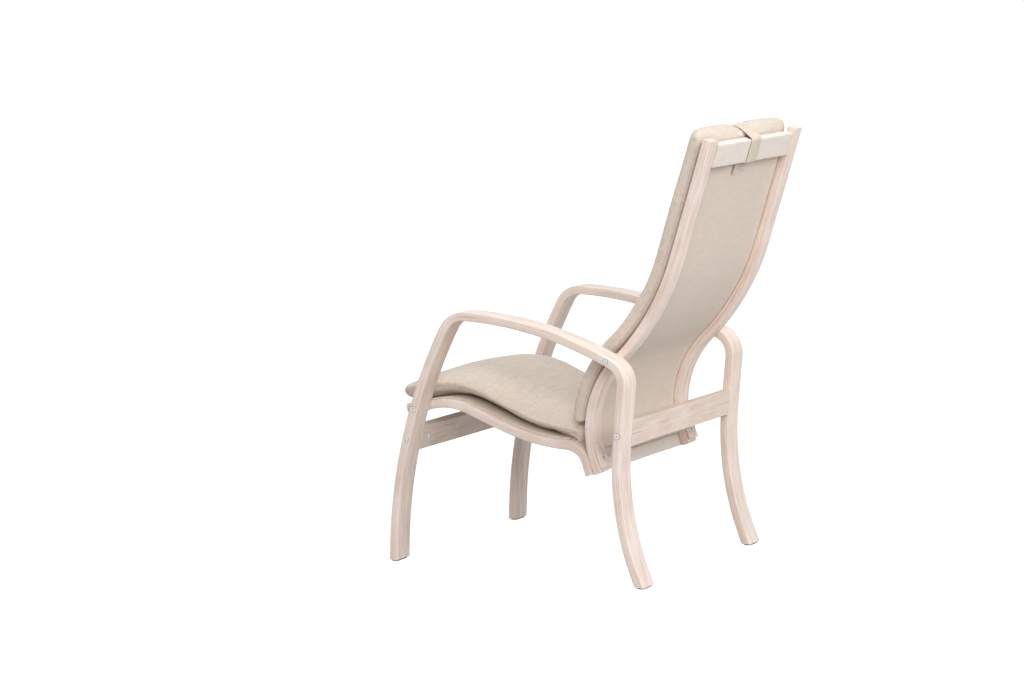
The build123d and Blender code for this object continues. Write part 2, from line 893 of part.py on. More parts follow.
def back_sling(lines):
    """Return the canvas panel of the back, with the window for the tab under its top bar."""
    low = back_panel_rise
    high = lines.back_groove_end
    cloth = panel(lines.back, low + welt_clearance, high - welt_clearance)
    cloth += panel_tongue(lines.back, back_panel_foot, low + overrun)
    cloth += panel_tongue(lines.back, high - overrun, high + top_bar_height)
    window_path = lines.back.between(high - window_height, high)
    window_half = window_width / 2
    window = strip(window_path, rail_half - overrun, rail_half + overrun, -window_half, window_half)
    return cut(cloth, window)


def seat_sling(lines):
    """Return the canvas panel of the seat."""
    low = lines.seat_groove_start
    high = lines.seat_groove_end
    cloth = panel(lines.seat, low + welt_clearance, high - welt_clearance)
    cloth += panel_tongue(lines.seat, low - front_bar_height, low + overrun)
    cloth += panel_tongue(lines.seat, high - overrun, lines.seat_tail_start)
    return cloth.solid()


def glide(foot):
    """Return the glide under the left foot whose centre line meets the glide's top at a place."""
    depth = frame_thickness / abs(math.sin(math.radians(foot.heading))) - 2 * glide_margin
    plate = Box(glide_length, depth, glide_thickness)
    plate = fillet(plate.edges().filter_by(Axis.Z), depth / 2 - glide_margin)
    return Pos((frame_inner + frame_outer) / 2, foot.y, glide_thickness / 2) * plate


def foot_glides(lines):
    """Return the glides under the four feet."""
    front = lines.frame.place(glide_thickness)
    rear = at_height(lines.frame, glide_thickness, lines.rear_leg_start, lines.frame.length)
    return both_sides([glide(front), glide(rear)])


def build():
    """Return every node of the chair by name, each a list of solids."""
    lines = layout()
    crossbar_nodes, crossbar_tools = crossbars(lines)
    hanger_nodes, hanger_tools, back_insert_hole, seat_insert_hole = rail_hangers(lines)
    bar_nodes, back_holes, seat_holes = bars(lines)
    return {
        **side_frames(lines, crossbar_tools + hanger_tools),
        **crossbar_nodes,
        **hanger_nodes,
        **bar_nodes,
        **rails(lines, [back_insert_hole, *back_holes], [seat_insert_hole, *seat_holes]),
        **sleeves(lines),
        "back_sling": [back_sling(lines)],
        "seat_sling": [seat_sling(lines)],
        "seat_cushion": [seat_cushion(lines)],
        "back_cushion": [back_cushion(lines)],
        "cushion_strap": [cushion_strap(lines.top_bar)],
        "strap_tab": [strap_tab(lines.top_bar)],
        "foot_glides": foot_glides(lines),
    }


def main():
    """Build the chair, centre it over its footprint and write one file for each node."""
    nodes = {}
    for name, shapes in build().items():
        nodes[name] = [solid for shape in shapes for solid in shape.solids()]
    os.makedirs("parts", exist_ok=True)
    boxes = [solid.bounding_box() for solids in nodes.values() for solid in solids]
    shift = Pos(0, -(min(box.min.Y for box in boxes) + max(box.max.Y for box in boxes)) / 2, 0)
    for name, solids in nodes.items():
        placed = [shift * solid for solid in solids]
        export_step(placed[0] if len(placed) == 1 else Compound(children=placed), f"parts/{name}.step")


if __name__ == "__main__":
    main()
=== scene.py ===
"""Looks of a high-backed lounge armchair with bent-laminated sides.

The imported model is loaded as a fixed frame. The laminated wood, the canvas and the cushions
are made here in the same frame, in metres, from the same driving dimensions in millimetres.
The chair faces -Y, +X is the sitter's left, and the floor is z = 0.
"""

import json
import logging
import math
from collections.abc import Callable
from dataclasses import dataclass
from enum import Enum

import bmesh
import bpy
import numpy as np
from mathutils import Matrix, Vector, noise
from mathutils.bvhtree import BVHTree

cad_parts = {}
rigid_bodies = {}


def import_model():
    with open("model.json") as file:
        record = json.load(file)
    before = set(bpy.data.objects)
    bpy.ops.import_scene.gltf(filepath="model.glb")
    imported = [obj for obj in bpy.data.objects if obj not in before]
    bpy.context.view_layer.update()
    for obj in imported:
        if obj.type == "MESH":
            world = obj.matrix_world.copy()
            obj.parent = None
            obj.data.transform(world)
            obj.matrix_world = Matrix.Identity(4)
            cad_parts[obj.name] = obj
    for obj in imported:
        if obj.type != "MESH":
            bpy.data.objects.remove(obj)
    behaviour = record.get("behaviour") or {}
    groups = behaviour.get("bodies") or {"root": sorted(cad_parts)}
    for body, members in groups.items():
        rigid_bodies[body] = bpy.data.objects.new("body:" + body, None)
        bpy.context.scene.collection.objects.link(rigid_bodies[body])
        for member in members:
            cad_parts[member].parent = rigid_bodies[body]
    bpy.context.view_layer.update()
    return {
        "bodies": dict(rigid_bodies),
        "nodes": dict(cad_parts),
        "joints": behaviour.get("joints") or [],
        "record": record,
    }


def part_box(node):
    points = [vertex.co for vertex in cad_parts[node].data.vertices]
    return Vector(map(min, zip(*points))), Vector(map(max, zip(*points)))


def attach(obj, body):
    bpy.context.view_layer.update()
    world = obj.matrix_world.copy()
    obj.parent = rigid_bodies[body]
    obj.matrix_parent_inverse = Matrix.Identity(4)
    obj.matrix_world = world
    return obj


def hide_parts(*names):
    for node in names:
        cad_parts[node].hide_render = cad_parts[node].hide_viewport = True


LOG = logging.getLogger("armchair")
MM = 0.001
UPRIGHT = 90.0
GRAIN_MAP = "grain"
HALVINGS = 50
CORNER_STEPS = 4
SOFT_CREASE = 60.0
FACTOR_SOCKET, FIRST_TONE, SECOND_TONE, MIXED_TONE = 0, 6, 7, 2


class Slot(Enum):
    """Material slots of the record."""

    WOOD = "whitewashed_beech"
    DOWEL = "plain_beech"
    CANVAS = "sling_canvas"
    LINEN = "linen_upholstery"
    STEEL = "zinc_steel"
    GLIDE = "black_glide"


class Side(Enum):
    """Side of the chair as its sign along X."""

    LEFT = 1
    RIGHT = -1


def spread(marks: list[float], spacing: float) -> list[float]:
    """Fill the stretches between marks with even steps.

    Args:
        marks: distances in rising order, which are all kept.
        spacing: largest step between two distances.

    Returns:
        The distances in rising order.
    """
    found = [marks[0]]
    for low, high in zip(marks, marks[1:]):
        steps = max(1, math.ceil((high - low) / spacing))
        found += [low + (high - low) * step / steps for step in range(1, steps + 1)]
    return found


@dataclass(frozen=True)
class Place:
    """A point in the side plane, with the heading of the path through it in degrees."""

    y: float
    z: float
    heading: float

    def shifted(self, along: float = 0.0, across: float = 0.0) -> "Place":
        """Return the place moved along its heading and to the left of it, in millimetres.

        Args:
            along: distance ahead.
            across: distance to the left.

        Returns:
            The new place.
        """
        angle = math.radians(self.heading)
        y = self.y + along * math.cos(angle) - across * math.sin(angle)
        z = self.z + along * math.sin(angle) + across * math.cos(angle)
        return Place(y, z, self.heading)

    def turned(self, angle: float) -> "Place":
        """Return the place with its heading turned to the left by an angle."""
        return Place(self.y, self.z, self.heading + angle)

    def at(self, x: float) -> Vector:
        """Return the point in metres at x millimetres from the middle of the chair."""
        return Vector((x * MM, self.y * MM, self.z * MM))


@dataclass(frozen=True)
class Leg:
    """A stretch of a path, straight when its sweep is zero, else turning left by the sweep."""

    length: float
    sweep: float = 0.0

    def step(self, start: Place, distance: float) -> Place:
        """Return the place at a distance along the leg from its start.

        Args:
            start: place at the leg's start.
            distance: distance from there.

        Returns:
            The place.
        """
        if self.sweep == 0:
            return start.shifted(along=distance)
        radius = self.length / math.radians(self.sweep)
        centre = start.shifted(across=radius)
        turn = self.sweep * distance / self.length
        return Place(centre.y, centre.z, start.heading + turn).shifted(across=-radius)


@dataclass(frozen=True)
class Path:
    """A smooth line in the side plane: a starting place and the legs that follow it."""

    start: Place
    legs: tuple[Leg, ...] = ()

    def run(self, length: float) -> "Path":
        """Return the path with a straight run added."""
        return Path(self.start, self.legs + (Leg(length),))

    def turn_to(self, radius: float, heading: float) -> "Path":
        """Return the path with a tangent turn added, up to the given heading."""
        sweep = heading - self.end.heading
        return Path(self.start, self.legs + (Leg(radius * math.radians(abs(sweep)), sweep),))

    @property
    def length(self) -> float:
        """Length of the whole path."""
        return sum(leg.length for leg in self.legs)

    @property
    def end(self) -> Place:
        """Place at the end of the path."""
        return self.place(self.length)

    def place(self, distance: float) -> Place:
        """Return the place at a distance from the start, on past either end if need be.

        Args:
            distance: distance from the start.

        Returns:
            The place.
        """
        start = self.start
        left = distance
        for leg in self.legs[:-1]:
            if left <= leg.length:
                return leg.step(start, left)
            start = leg.step(start, leg.length)
            left -= leg.length
        return self.legs[-1].step(start, left) if self.legs else start

    def between(self, first: float, last: float) -> "Path":
        """Return the part of the path between two distances from its start.

        Args:
            first: distance at which the part starts.
            last: distance at which it ends.

        Returns:
            The part as a path.
        """
        legs = []
        done = 0.0
        for leg in self.legs:
            share = (min(last, done + leg.length) - max(first, done)) / leg.length
            if share > 0:
                legs.append(Leg(leg.length * share, leg.sweep * share))
            done += leg.length
        return Path(self.place(first), tuple(legs))

    def joints(self) -> list[float]:
        """Return the distances at which the legs start and end.

        Returns:
            The distances in rising order.
        """
        found = [0.0]
        for leg in self.legs:
            found.append(found[-1] + leg.length)
        return found

    def back_to_front(self) -> "Path":
        """Return the same line walked the other way."""
        start = self.end.turned(2 * UPRIGHT)
        return Path(start, tuple(Leg(leg.length, -leg.sweep) for leg in reversed(self.legs)))

    def moved(self, y: float, z: float) -> "Path":
        """Return the path moved in the side plane."""
        return Path(Place(self.start.y + y, self.start.z + z, self.start.heading), self.legs)

    def stations(self, first: float, last: float, spacing: float) -> list[float]:
        """Return evenly spread distances between two, with the joints of the legs among them.

        Args:
            first: distance of the first station.
            last: distance of the last station.
            spacing: largest step between two stations.

        Returns:
            The distances in rising order.
        """
        inner = [joint for joint in self.joints() if first + 1 < joint < last - 1]
        return spread([first, *inner, last], spacing)


def solved(miss: Callable[[float], float], low: float, high: float) -> float:
    """Return the value between low and high at which the miss changes sign.

    Args:
        miss: what is to become zero.
        low: lowest value.
        high: highest value.

    Returns:
        The value.
    """
    rising = miss(low) < miss(high)
    for _ in range(HALVINGS):
        middle = (low + high) / 2
        if (miss(middle) < 0) == rising:
            low = middle
        else:
            high = middle
    return (low + high) / 2


@dataclass(frozen=True)
class Sizes:
    """Driving dimensions of the chair in millimetres, the same as those of its solids."""

    thickness: float = 19.5
    edge_round: float = 2.5
    width: float = 680.0
    frame_width: float = 63.0
    spacer: float = 6.0
    rail_width: float = 45.0
    glide: float = 3.0
    canvas: float = 1.4
    lift: float = 0.3

    @property
    def frame_outer(self) -> float:
        """Distance of the outer faces of the side frames from the middle."""
        return self.width / 2

    @property
    def frame_inner(self) -> float:
        """Distance of the inner faces of the side frames from the middle."""
        return self.frame_outer - self.frame_width

    @property
    def rail_outer(self) -> float:
        """Distance of the outer faces of the rails from the middle."""
        return self.frame_inner - self.spacer

    @property
    def rail_inner(self) -> float:
        """Distance of the inner faces of the rails from the middle."""
        return self.rail_outer - self.rail_width

    @property
    def half(self) -> float:
        """Half the thickness of the laminated stock."""
        return self.thickness / 2


@dataclass(frozen=True)
class Lines:
    """Centre lines of the bent laminations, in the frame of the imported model."""

    frame: Path
    back: Path
    seat: Path
    arm_bolt: Place
    seat_bolt: Place
    front_crossbar: Place
    rear_crossbar: Place
    top_bar: Place
    front_bar: Place
    lower_bar: Place


@dataclass(frozen=True)
class LinePlan:
    """Driving dimensions of the centre lines, in millimetres and degrees."""

    front_foot_run: float = 41.0
    front_leg_radius: float = 1150.0
    front_leg_lean: float = 25.6
    frame_bend_radius: float = 53.5
    arm_radius: float = 872.0
    arm_fall: float = 24.1
    rear_leg_tuck: float = 3.1
    rear_leg_run: float = 121.0
    rear_leg_radius: float = 648.0
    front_crossbar_rise: float = 281.0
    rear_crossbar_drop: float = 107.0
    arm_bolt_setback: float = 7.8
    arm_bolt_rise: float = 282.9
    back_foot_kick: float = 27.5
    back_curve_radius: float = 222.0
    back_curve_sweep: float = 71.0
    back_shoulder_radius: float = 537.0
    back_rake: float = 15.1
    back_upper_run: float = 276.0
    corner_bolt_rise: float = 31.0
    corner_gap: float = 0.3
    seat_tail_drop: float = 30.0
    seat_bend_radius: float = 51.0
    seat_rear_rise: float = 0.6
    seat_hollow_radius: float = 490.0
    seat_slope: float = 19.8
    seat_crest_radius: float = 146.0
    seat_front_droop: float = 11.7
    seat_front_run: float = 74.7
    seat_overhang: float = 52.0
    top_bar_drop: float = 37.0
    lower_bar_rise: float = 15.0
    front_bar_setback: float = 24.0

    def frame_line(self, sizes: Sizes, start_y: float) -> Path:
        """Return the centre line of a side frame from the front foot to the rear foot.

        Args:
            sizes: the chair's sizes.
            start_y: place of the front foot along Y.

        Returns:
            The line.
        """
        path = Path(Place(start_y, 0, UPRIGHT)).run(self.front_foot_run)
        path = path.turn_to(self.front_leg_radius, UPRIGHT - self.front_leg_lean)
        path = path.turn_to(self.frame_bend_radius, 0)
        path = path.turn_to(self.arm_radius, -self.arm_fall)
        path = path.turn_to(self.frame_bend_radius, -UPRIGHT - self.rear_leg_tuck)
        path = path.run(self.rear_leg_run)
        centre = path.end.shifted(across=self.rear_leg_radius)
        drop = (centre.z + sizes.thickness) / self.rear_leg_radius
        return path.turn_to(self.rear_leg_radius, -math.degrees(math.acos(drop)))

    def back_line(self, bolt: Place) -> Path:
        """Return the centre line of a back rail from its lower end, hung on the arm bolt.

        Args:
            bolt: place of the arm bolt.

        Returns:
            The line.
        """
        heading = UPRIGHT + self.back_foot_kick
        path = Path(Place(0, 0, heading))
        path = path.turn_to(self.back_curve_radius, heading - self.back_curve_sweep)
        path = path.turn_to(self.back_shoulder_radius, UPRIGHT - self.back_rake)
        path = path.run(self.back_upper_run)
        own = path.place(self.arm_bolt_rise)
        return path.moved(bolt.y - own.y, bolt.z - own.z)

    def seat_line(self, sizes: Sizes, frame: Path, back: Path) -> tuple[Path, Place]:
        """Return the centre line of a seat rail from its front end, and the seat bolt's place.

        Args:
            sizes: the chair's sizes.
            frame: line of a side frame.
            back: line of a back rail.

        Returns:
            The line and the place of the bolt on it.
        """
        offset = sizes.thickness + self.corner_gap
        corner = back.place(self.corner_bolt_rise).shifted(across=offset)
        rear = Path(corner.shifted(along=-self.seat_tail_drop)).run(self.seat_tail_drop)
        rear = rear.turn_to(self.seat_bend_radius, 2 * UPRIGHT - self.seat_rear_rise)
        rear = rear.turn_to(self.seat_hollow_radius, 2 * UPRIGHT - self.seat_slope)
        leg_top = frame.joints()[2]

        def whole(slope_run: float) -> Path:
            """Return the rail from its rear end with a length of slope.

            Args:
                slope_run: length of the straight slope.

            Returns:
                The path.
            """
            path = rear.run(slope_run)
            path = path.turn_to(self.seat_crest_radius, 2 * UPRIGHT + self.seat_front_droop)
            return path.run(self.seat_front_run)

        def miss(slope_run: float) -> float:
            """Return how far the seat bolt misses the front leg's centre line.

            Args:
                slope_run: length of the straight slope.

            Returns:
                The distance.
            """
            path = whole(slope_run)
            spot = path.place(path.length - self.seat_overhang)
            height = solved(lambda distance: frame.place(distance).z - spot.z, 0, leg_top)
            return spot.y - frame.place(height).y

        path = whole(solved(miss, 0, sizes.frame_outer))
        return path.back_to_front(), path.place(path.length - self.seat_overhang)

    def lines(self, sizes: Sizes) -> Lines:
        """Return every centre line and the places that the pieces are set at.

        Args:
            sizes: the chair's sizes.

        Returns:
            The lines and places.
        """
        start_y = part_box("side_frame_left")[0][1] / MM + sizes.half
        frame = self.frame_line(sizes, start_y)
        joints = frame.joints()
        arm_bolt = frame.place(joints[4] - self.arm_bolt_setback)
        back = self.back_line(arm_bolt)
        seat, seat_bolt = self.seat_line(sizes, frame, back)
        return Lines(
            frame,
            back,
            seat,
            arm_bolt,
            seat_bolt,
            frame.place(self.front_crossbar_rise),
            frame.place(joints[5] + self.rear_crossbar_drop),
            back.place(back.length - self.top_bar_drop),
            seat.place(self.front_bar_setback),
            seat.place(seat.length - self.lower_bar_rise),
        )


def linear(colour: str) -> tuple[float, float, float, float]:
    """Return an sRGB hex colour as linear red, green, blue and alpha.

    Args:
        colour: hex colour with its leading sign.

    Returns:
        Red, green, blue and alpha.
    """
    values = [int(colour[place : place + 2], 16) / 255 for place in (1, 3, 5)]
    curved = [v / 12.92 if v <= 0.04045 else ((v + 0.055) / 1.055) ** 2.4 for v in values]
    return (*curved, 1.0)


def add_node(
    tree: bpy.types.NodeTree,
    kind: str,
    settings: dict[str, object] | None = None,
    inputs: dict[str | int, object] | None = None,
) -> bpy.types.Node:
    """Add a node to a tree, with its settings, its values and its links.

    Args:
        tree: node tree that gets the node.
        kind: Blender's identifier of the node.
        settings: attributes of the node by name.
        inputs: for each socket, by name or number, a value or the output that feeds it.

    Returns:
        The new node.
    """
    node = tree.nodes.new(kind)
    for name, value in (settings or {}).items():
        setattr(node, name, value)
    for name, value in (inputs or {}).items():
        socket = node.inputs[name]
        if isinstance(value, bpy.types.NodeSocket):
            tree.links.new(value, socket)
        else:
            socket.default_value = value
    return node


def new_material(name: str) -> tuple[bpy.types.Material, bpy.types.NodeTree, bpy.types.Node]:
    """Return a new material, its tree and its surface shader.

    Args:
        name: name of the material.

    Returns:
        The material, the tree and the shader.
    """
    material = bpy.data.materials.new(name)
    material.use_nodes = True
    tree = material.node_tree
    return material, tree, tree.nodes["Principled BSDF"]


@dataclass(frozen=True)
class Tone:
    """A colour that shows where a pattern is strong."""

    colour: str
    pattern: bpy.types.NodeSocket
    weak: float
    strong: float
    most: float


def toned(tree: bpy.types.NodeTree, base: str, tones: tuple[Tone, ...]) -> bpy.types.NodeSocket:
    """Lay tones over a base colour, each over those before it.

    Args:
        tree: node tree that gets the nodes.
        base: sRGB hex colour under the tones.
        tones: the colours and the patterns that share them out.

    Returns:
        The socket with the final colour.
    """
    colour = linear(base)
    for tone in tones:
        share = add_node(
            tree,
            "ShaderNodeMapRange",
            inputs={
                "Value": tone.pattern,
                "From Min": tone.weak,
                "From Max": tone.strong,
                "To Min": 0.0,
                "To Max": tone.most,
            },
        )
        mix = add_node(
            tree,
            "ShaderNodeMix",
            {"data_type": "RGBA"},
            {FACTOR_SOCKET: share.outputs[0], FIRST_TONE: colour, SECOND_TONE: linear(tone.colour)},
        )
        colour = mix.outputs[MIXED_TONE]
    return colour


def drawn_noise(
    tree: bpy.types.NodeTree,
    place: bpy.types.NodeSocket,
    lengths: tuple[float, float, float],
    inputs: dict[str, float],
) -> bpy.types.NodeSocket:
    """Make a noise that is drawn out to its own length on each axis.

    Args:
        tree: node tree that gets the nodes.
        place: the coordinates.
        lengths: length of the pattern on each axis, in metres.
        inputs: the noise's other inputs.

    Returns:
        The socket with the noise.
    """
    steps = tuple(1 / length for length in lengths)
    drawn = add_node(tree, "ShaderNodeVectorMath", {"operation": "MULTIPLY"}, {0: place, 1: steps})
    inputs = {"Vector": drawn.outputs[0], "Scale": 1.0} | inputs
    return add_node(tree, "ShaderNodeTexNoise", inputs=inputs).outputs[0]


class GrainFrom(Enum):
    """What gives the direction of the grain."""

    BEND = "the piece's own map, which follows the bend"
    BAR = "the object's own axes, for a straight bar along X"


@dataclass(frozen=True)
class WhitewashedBeech:
    """Laminated beech, sanded and finished with a thin white-pigmented lacquer.

    The wash leaves a pale, slightly pink wood with soft streaks along the veneers, and the
    glue lines show faintly on the edges.
    """

    name: str
    grain: GrainFrom
    face: str = "#E6D5C9"
    streak: str = "#C2A194"
    wash: str = "#F1E8E2"
    streak_length: float = 110 * MM
    # Real veneers are 1.5 mm thick, drawn twice as thick so that they show
    veneer: float = 3 * MM
    streak_width: float = 3.5 * MM
    pore_length: float = 9 * MM
    pore_width: float = 0.9 * MM

    def build(self) -> bpy.types.Material:
        """Build the material.

        Returns:
            The material.
        """
        material, tree, shader = new_material(self.name)
        place = add_node(tree, "ShaderNodeTexCoord")
        if self.grain is GrainFrom.BEND:
            own = add_node(tree, "ShaderNodeUVMap", {"uv_map": GRAIN_MAP})
            map_axes = add_node(tree, "ShaderNodeSeparateXYZ", inputs={0: own.outputs[0]})
            axes = add_node(tree, "ShaderNodeSeparateXYZ", inputs={0: place.outputs["Object"]})
            along, through, wide = map_axes.outputs[0], map_axes.outputs[1], axes.outputs[0]
        else:
            axes = add_node(tree, "ShaderNodeSeparateXYZ", inputs={0: place.outputs["Object"]})
            along, through, wide = axes.outputs[0], axes.outputs[1], axes.outputs[2]
        grain = add_node(tree, "ShaderNodeCombineXYZ", inputs={0: along, 1: through, 2: wide}).outputs[0]
        lengths = (self.streak_length, self.veneer, self.streak_width)
        streaks = drawn_noise(tree, grain, lengths, {"Detail": 4.0, "Roughness": 0.62})
        lengths = (self.pore_length, self.pore_width, self.pore_width)
        pores = drawn_noise(tree, grain, lengths, {"Detail": 2.0})
        lengths = (self.streak_length, self.streak_length, self.streak_length / 4)
        patches = drawn_noise(tree, grain, lengths, {"Scale": 1.3, "Detail": 3.0})
        tones = (
            Tone(self.streak, streaks, 0.44, 0.74, 0.8),
            Tone(self.wash, patches, 0.4, 0.75, 0.7),
            Tone(self.streak, pores, 0.58, 0.75, 0.4),
        )
        rough = add_node(
            tree,
            "ShaderNodeMapRange",
            inputs={"Value": streaks, "From Min": 0.3, "From Max": 0.7, "To Min": 0.42, "To Max": 0.58},
        )
        height = {"Strength": 0.25, "Distance": 0.2 * MM, "Height": pores}
        bump = add_node(tree, "ShaderNodeBump", inputs=height)
        tree.links.new(toned(tree, self.face, tones), shader.inputs["Base Color"])
        tree.links.new(rough.outputs[0], shader.inputs["Roughness"])
        tree.links.new(bump.outputs[0], shader.inputs["Normal"])
        shader.inputs["IOR"].default_value = 1.5
        shader.inputs["Coat Weight"].default_value = 0.12
        shader.inputs["Coat Roughness"].default_value = 0.35
        return material


@dataclass(frozen=True)
class WovenCloth:
    """Plain-woven cloth of slubbed yarn, which has fine threads with thicker soft stretches."""

    name: str
    yarn: str
    shade: str
    light: str
    # Real threads are 0.7 mm apart, drawn wider so that the weave shows
    thread: float = 1.6 * MM
    slub: float = 45 * MM
    slub_width: float = 9 * MM
    relief: float = 0.35 * MM
    contrast: float = 0.75

    def build(self) -> bpy.types.Material:
        """Build the material.

        Returns:
            The material.
        """
        material, tree, shader = new_material(self.name)
        place = add_node(tree, "ShaderNodeTexCoord").outputs["Object"]
        warp = (self.slub, self.thread, self.thread)
        weft = (self.thread, self.slub, self.slub)
        inputs = {"Detail": 3.0, "Roughness": 0.6}
        yarns = [drawn_noise(tree, place, lengths, inputs) for lengths in (warp, weft)]
        weave = add_node(tree, "ShaderNodeMath", {"operation": "ADD"}, dict(enumerate(yarns))).outputs[0]
        slubs = (self.slub, self.slub_width, self.slub_width)
        patches = drawn_noise(tree, place, slubs, {"Detail": 5.0, "Roughness": 0.7})
        tones = (
            Tone(self.shade, weave, 1.0, 0.72, self.contrast),
            Tone(self.light, patches, 0.45, 0.75, self.contrast),
        )
        height = {"Strength": 0.5, "Distance": self.relief, "Height": weave}
        bump = add_node(tree, "ShaderNodeBump", inputs=height)
        tree.links.new(toned(tree, self.yarn, tones), shader.inputs["Base Color"])
        tree.links.new(bump.outputs[0], shader.inputs["Normal"])
        shader.inputs["Roughness"].default_value = 0.9
        shader.inputs["Specular IOR Level"].default_value = 0.25
        shader.inputs["Sheen Weight"].default_value = 0.12
        shader.inputs["Sheen Roughness"].default_value = 0.5
        return material


@dataclass(frozen=True)
class SpeckledSolid:
    """A plain solid material whose tone and polish vary in small flecks."""

    name: str
    base: str
    fleck: str
    metallic: float
    rough_low: float
    rough_high: float
    fleck_size: float

    def build(self) -> bpy.types.Material:
        """Build the material.

        Returns:
            The material.
        """
        material, tree, shader = new_material(self.name)
        place = add_node(tree, "ShaderNodeTexCoord").outputs["Object"]
        flecks = add_node(
            tree,
            "ShaderNodeTexNoise",
            inputs={"Vector": place, "Scale": 1 / self.fleck_size, "Detail": 4.0},
        )
        base, fleck = linear(self.base), linear(self.fleck)
        tone = add_node(
            tree,
            "ShaderNodeMix",
            {"data_type": "RGBA"},
            {FACTOR_SOCKET: flecks.outputs[0], FIRST_TONE: base, SECOND_TONE: fleck},
        )
        rough = add_node(
            tree,
            "ShaderNodeMapRange",
            inputs={"Value": flecks.outputs[0], "To Min": self.rough_low, "To Max": self.rough_high},
        )
        height = {"Strength": 0.2, "Distance": 0.1 * MM, "Height": flecks.outputs[0]}
        bump = add_node(tree, "ShaderNodeBump", inputs=height)
        tree.links.new(tone.outputs[MIXED_TONE], shader.inputs["Base Color"])
        tree.links.new(rough.outputs[0], shader.inputs["Roughness"])
        tree.links.new(bump.outputs[0], shader.inputs["Normal"])
        shader.inputs["Metallic"].default_value = self.metallic
        return material


class Finishes:
    """The finish of each material slot, and the wood in its two grain directions."""

    def __init__(self) -> None:
        """Build every finish."""
        # Thin white lacquer over beech: pale pink wood, half matt
        self.bent_wood = WhitewashedBeech("whitewashed_laminated_beech", GrainFrom.BEND).build()
        self.bar_wood = WhitewashedBeech(
            "whitewashed_beech_board", GrainFrom.BAR, face="#DCCABD", streak="#BE9E8F", wash="#E8DCD4"
        ).build()
        # Unbleached slub yarn: matt, with pale thick threads
        self.linen = WovenCloth("slubbed_linen_cover", "#D6C9BC", "#BCAC9D", "#E2D8CD").build()
        # Even cotton yarn: matt and calm. The panels' copy is darker, as painted shade for the panels,
        # which face away from the light
        self.canvas = WovenCloth("plain_canvas", "#E6DCD3", "#D3C7BC", "#EFE8E1", contrast=0.45).build()
        self.panel = WovenCloth("panel_canvas_painted_shade", "#DACDC0", "#C7B8AA", "#E4DACF", contrast=0.45).build()
        self.thread = WovenCloth(
            "sewing_thread", "#DDD2C2", "#BBAA95", "#EBE3D6", thread=0.4 * MM
        ).build()
        # Beech left bare from the lathe: warm and matt
        self.dowel = SpeckledSolid("turned_beech", "#C9A27C", "#B48A63", 0.0, 0.55, 0.7, 2 * MM).build()
        # Steel with a thin bright zinc coat: silver with soft darker flecks
        self.steel = SpeckledSolid(
            "zinc_plated_steel", "#F4F4F4", "#8E8F92", 1.0, 0.15, 0.35, 3 * MM
        ).build()
        # Black nylon from a mould: dark and half matt
        self.glide = SpeckledSolid("moulded_nylon", "#1B1917", "#2A2724", 0.0, 0.5, 0.7, 1 * MM).build()

    def for_slot(self, slot: Slot) -> bpy.types.Material:
        """Return the finish of a CAD node in a slot.

        Args:
            slot: the material slot.

        Returns:
            The finish.
        """
        return {
            Slot.WOOD: self.bar_wood,
            Slot.DOWEL: self.dowel,
            Slot.CANVAS: self.canvas,
            Slot.LINEN: self.linen,
            Slot.STEEL: self.steel,
            Slot.GLIDE: self.glide,
        }[slot]


def new_object(name: str, mesh: bpy.types.Mesh, material: bpy.types.Material) -> bpy.types.Object:
    """Return a new object in the scene with a mesh and a material.

    Args:
        name: name of the piece.
        mesh: its mesh.
        material: its material.

    Returns:
        The object.
    """
    piece = bpy.data.objects.new(name, mesh)
    bpy.context.scene.collection.objects.link(piece)
    mesh.materials.clear()
    mesh.materials.append(material)
    return piece


def smooth(mesh: bpy.types.Mesh, crease: float = 35.0) -> None:
    """Shade a mesh smooth, with edges sharper than the crease angle left sharp."""
    mesh.polygons.foreach_set("use_smooth", [True] * len(mesh.polygons))
    mesh.set_sharp_from_angle(angle=math.radians(crease))


def ring_mesh(
    name: str, rings: list[list[Vector]], maps: list[list[tuple[float, float]]] | None = None
) -> bpy.types.Mesh:
    """Return a closed mesh through a row of rings, with its grain map.

    Args:
        name: name of the mesh.
        rings: points of each ring, all of one count.
        maps: the grain map's two coordinates for each point of each ring, or none for cloth.

    Returns:
        The mesh, capped at both ends, with its faces pointing outwards.
    """
    shape = bmesh.new()
    grain = shape.loops.layers.uv.new(GRAIN_MAP)
    rows = [[shape.verts.new(point) for point in ring] for ring in rings]
    count = len(rings[0])
    spots = {}
    for row, row_map in zip(rows, maps or [[(0.0, 0.0)] * count] * len(rings)):
        spots.update(zip(row, row_map))
    join_rows(shape, rows)
    shape.faces.new(list(reversed(rows[0])))
    shape.faces.new(rows[-1])
    for face in shape.faces:
        for loop in face.loops:
            loop[grain].uv = spots[loop.vert]
    bmesh.ops.recalc_face_normals(shape, faces=shape.faces)
    mesh = bpy.data.meshes.new(name)
    shape.to_mesh(mesh)
    shape.free()
    return mesh


def join_rows(shape: bmesh.types.BMesh, rows: list[list[bmesh.types.BMVert]]) -> None:
    """Put faces between each two rows of points that go round.

    Args:
        shape: the mesh being made.
        rows: rows of points, all of one count.
    """
    count = len(rows[0])
    for low, high in zip(rows, rows[1:]):
        for k in range(count):
            shape.faces.new((low[k], low[(k + 1) % count], high[(k + 1) % count], high[k]))


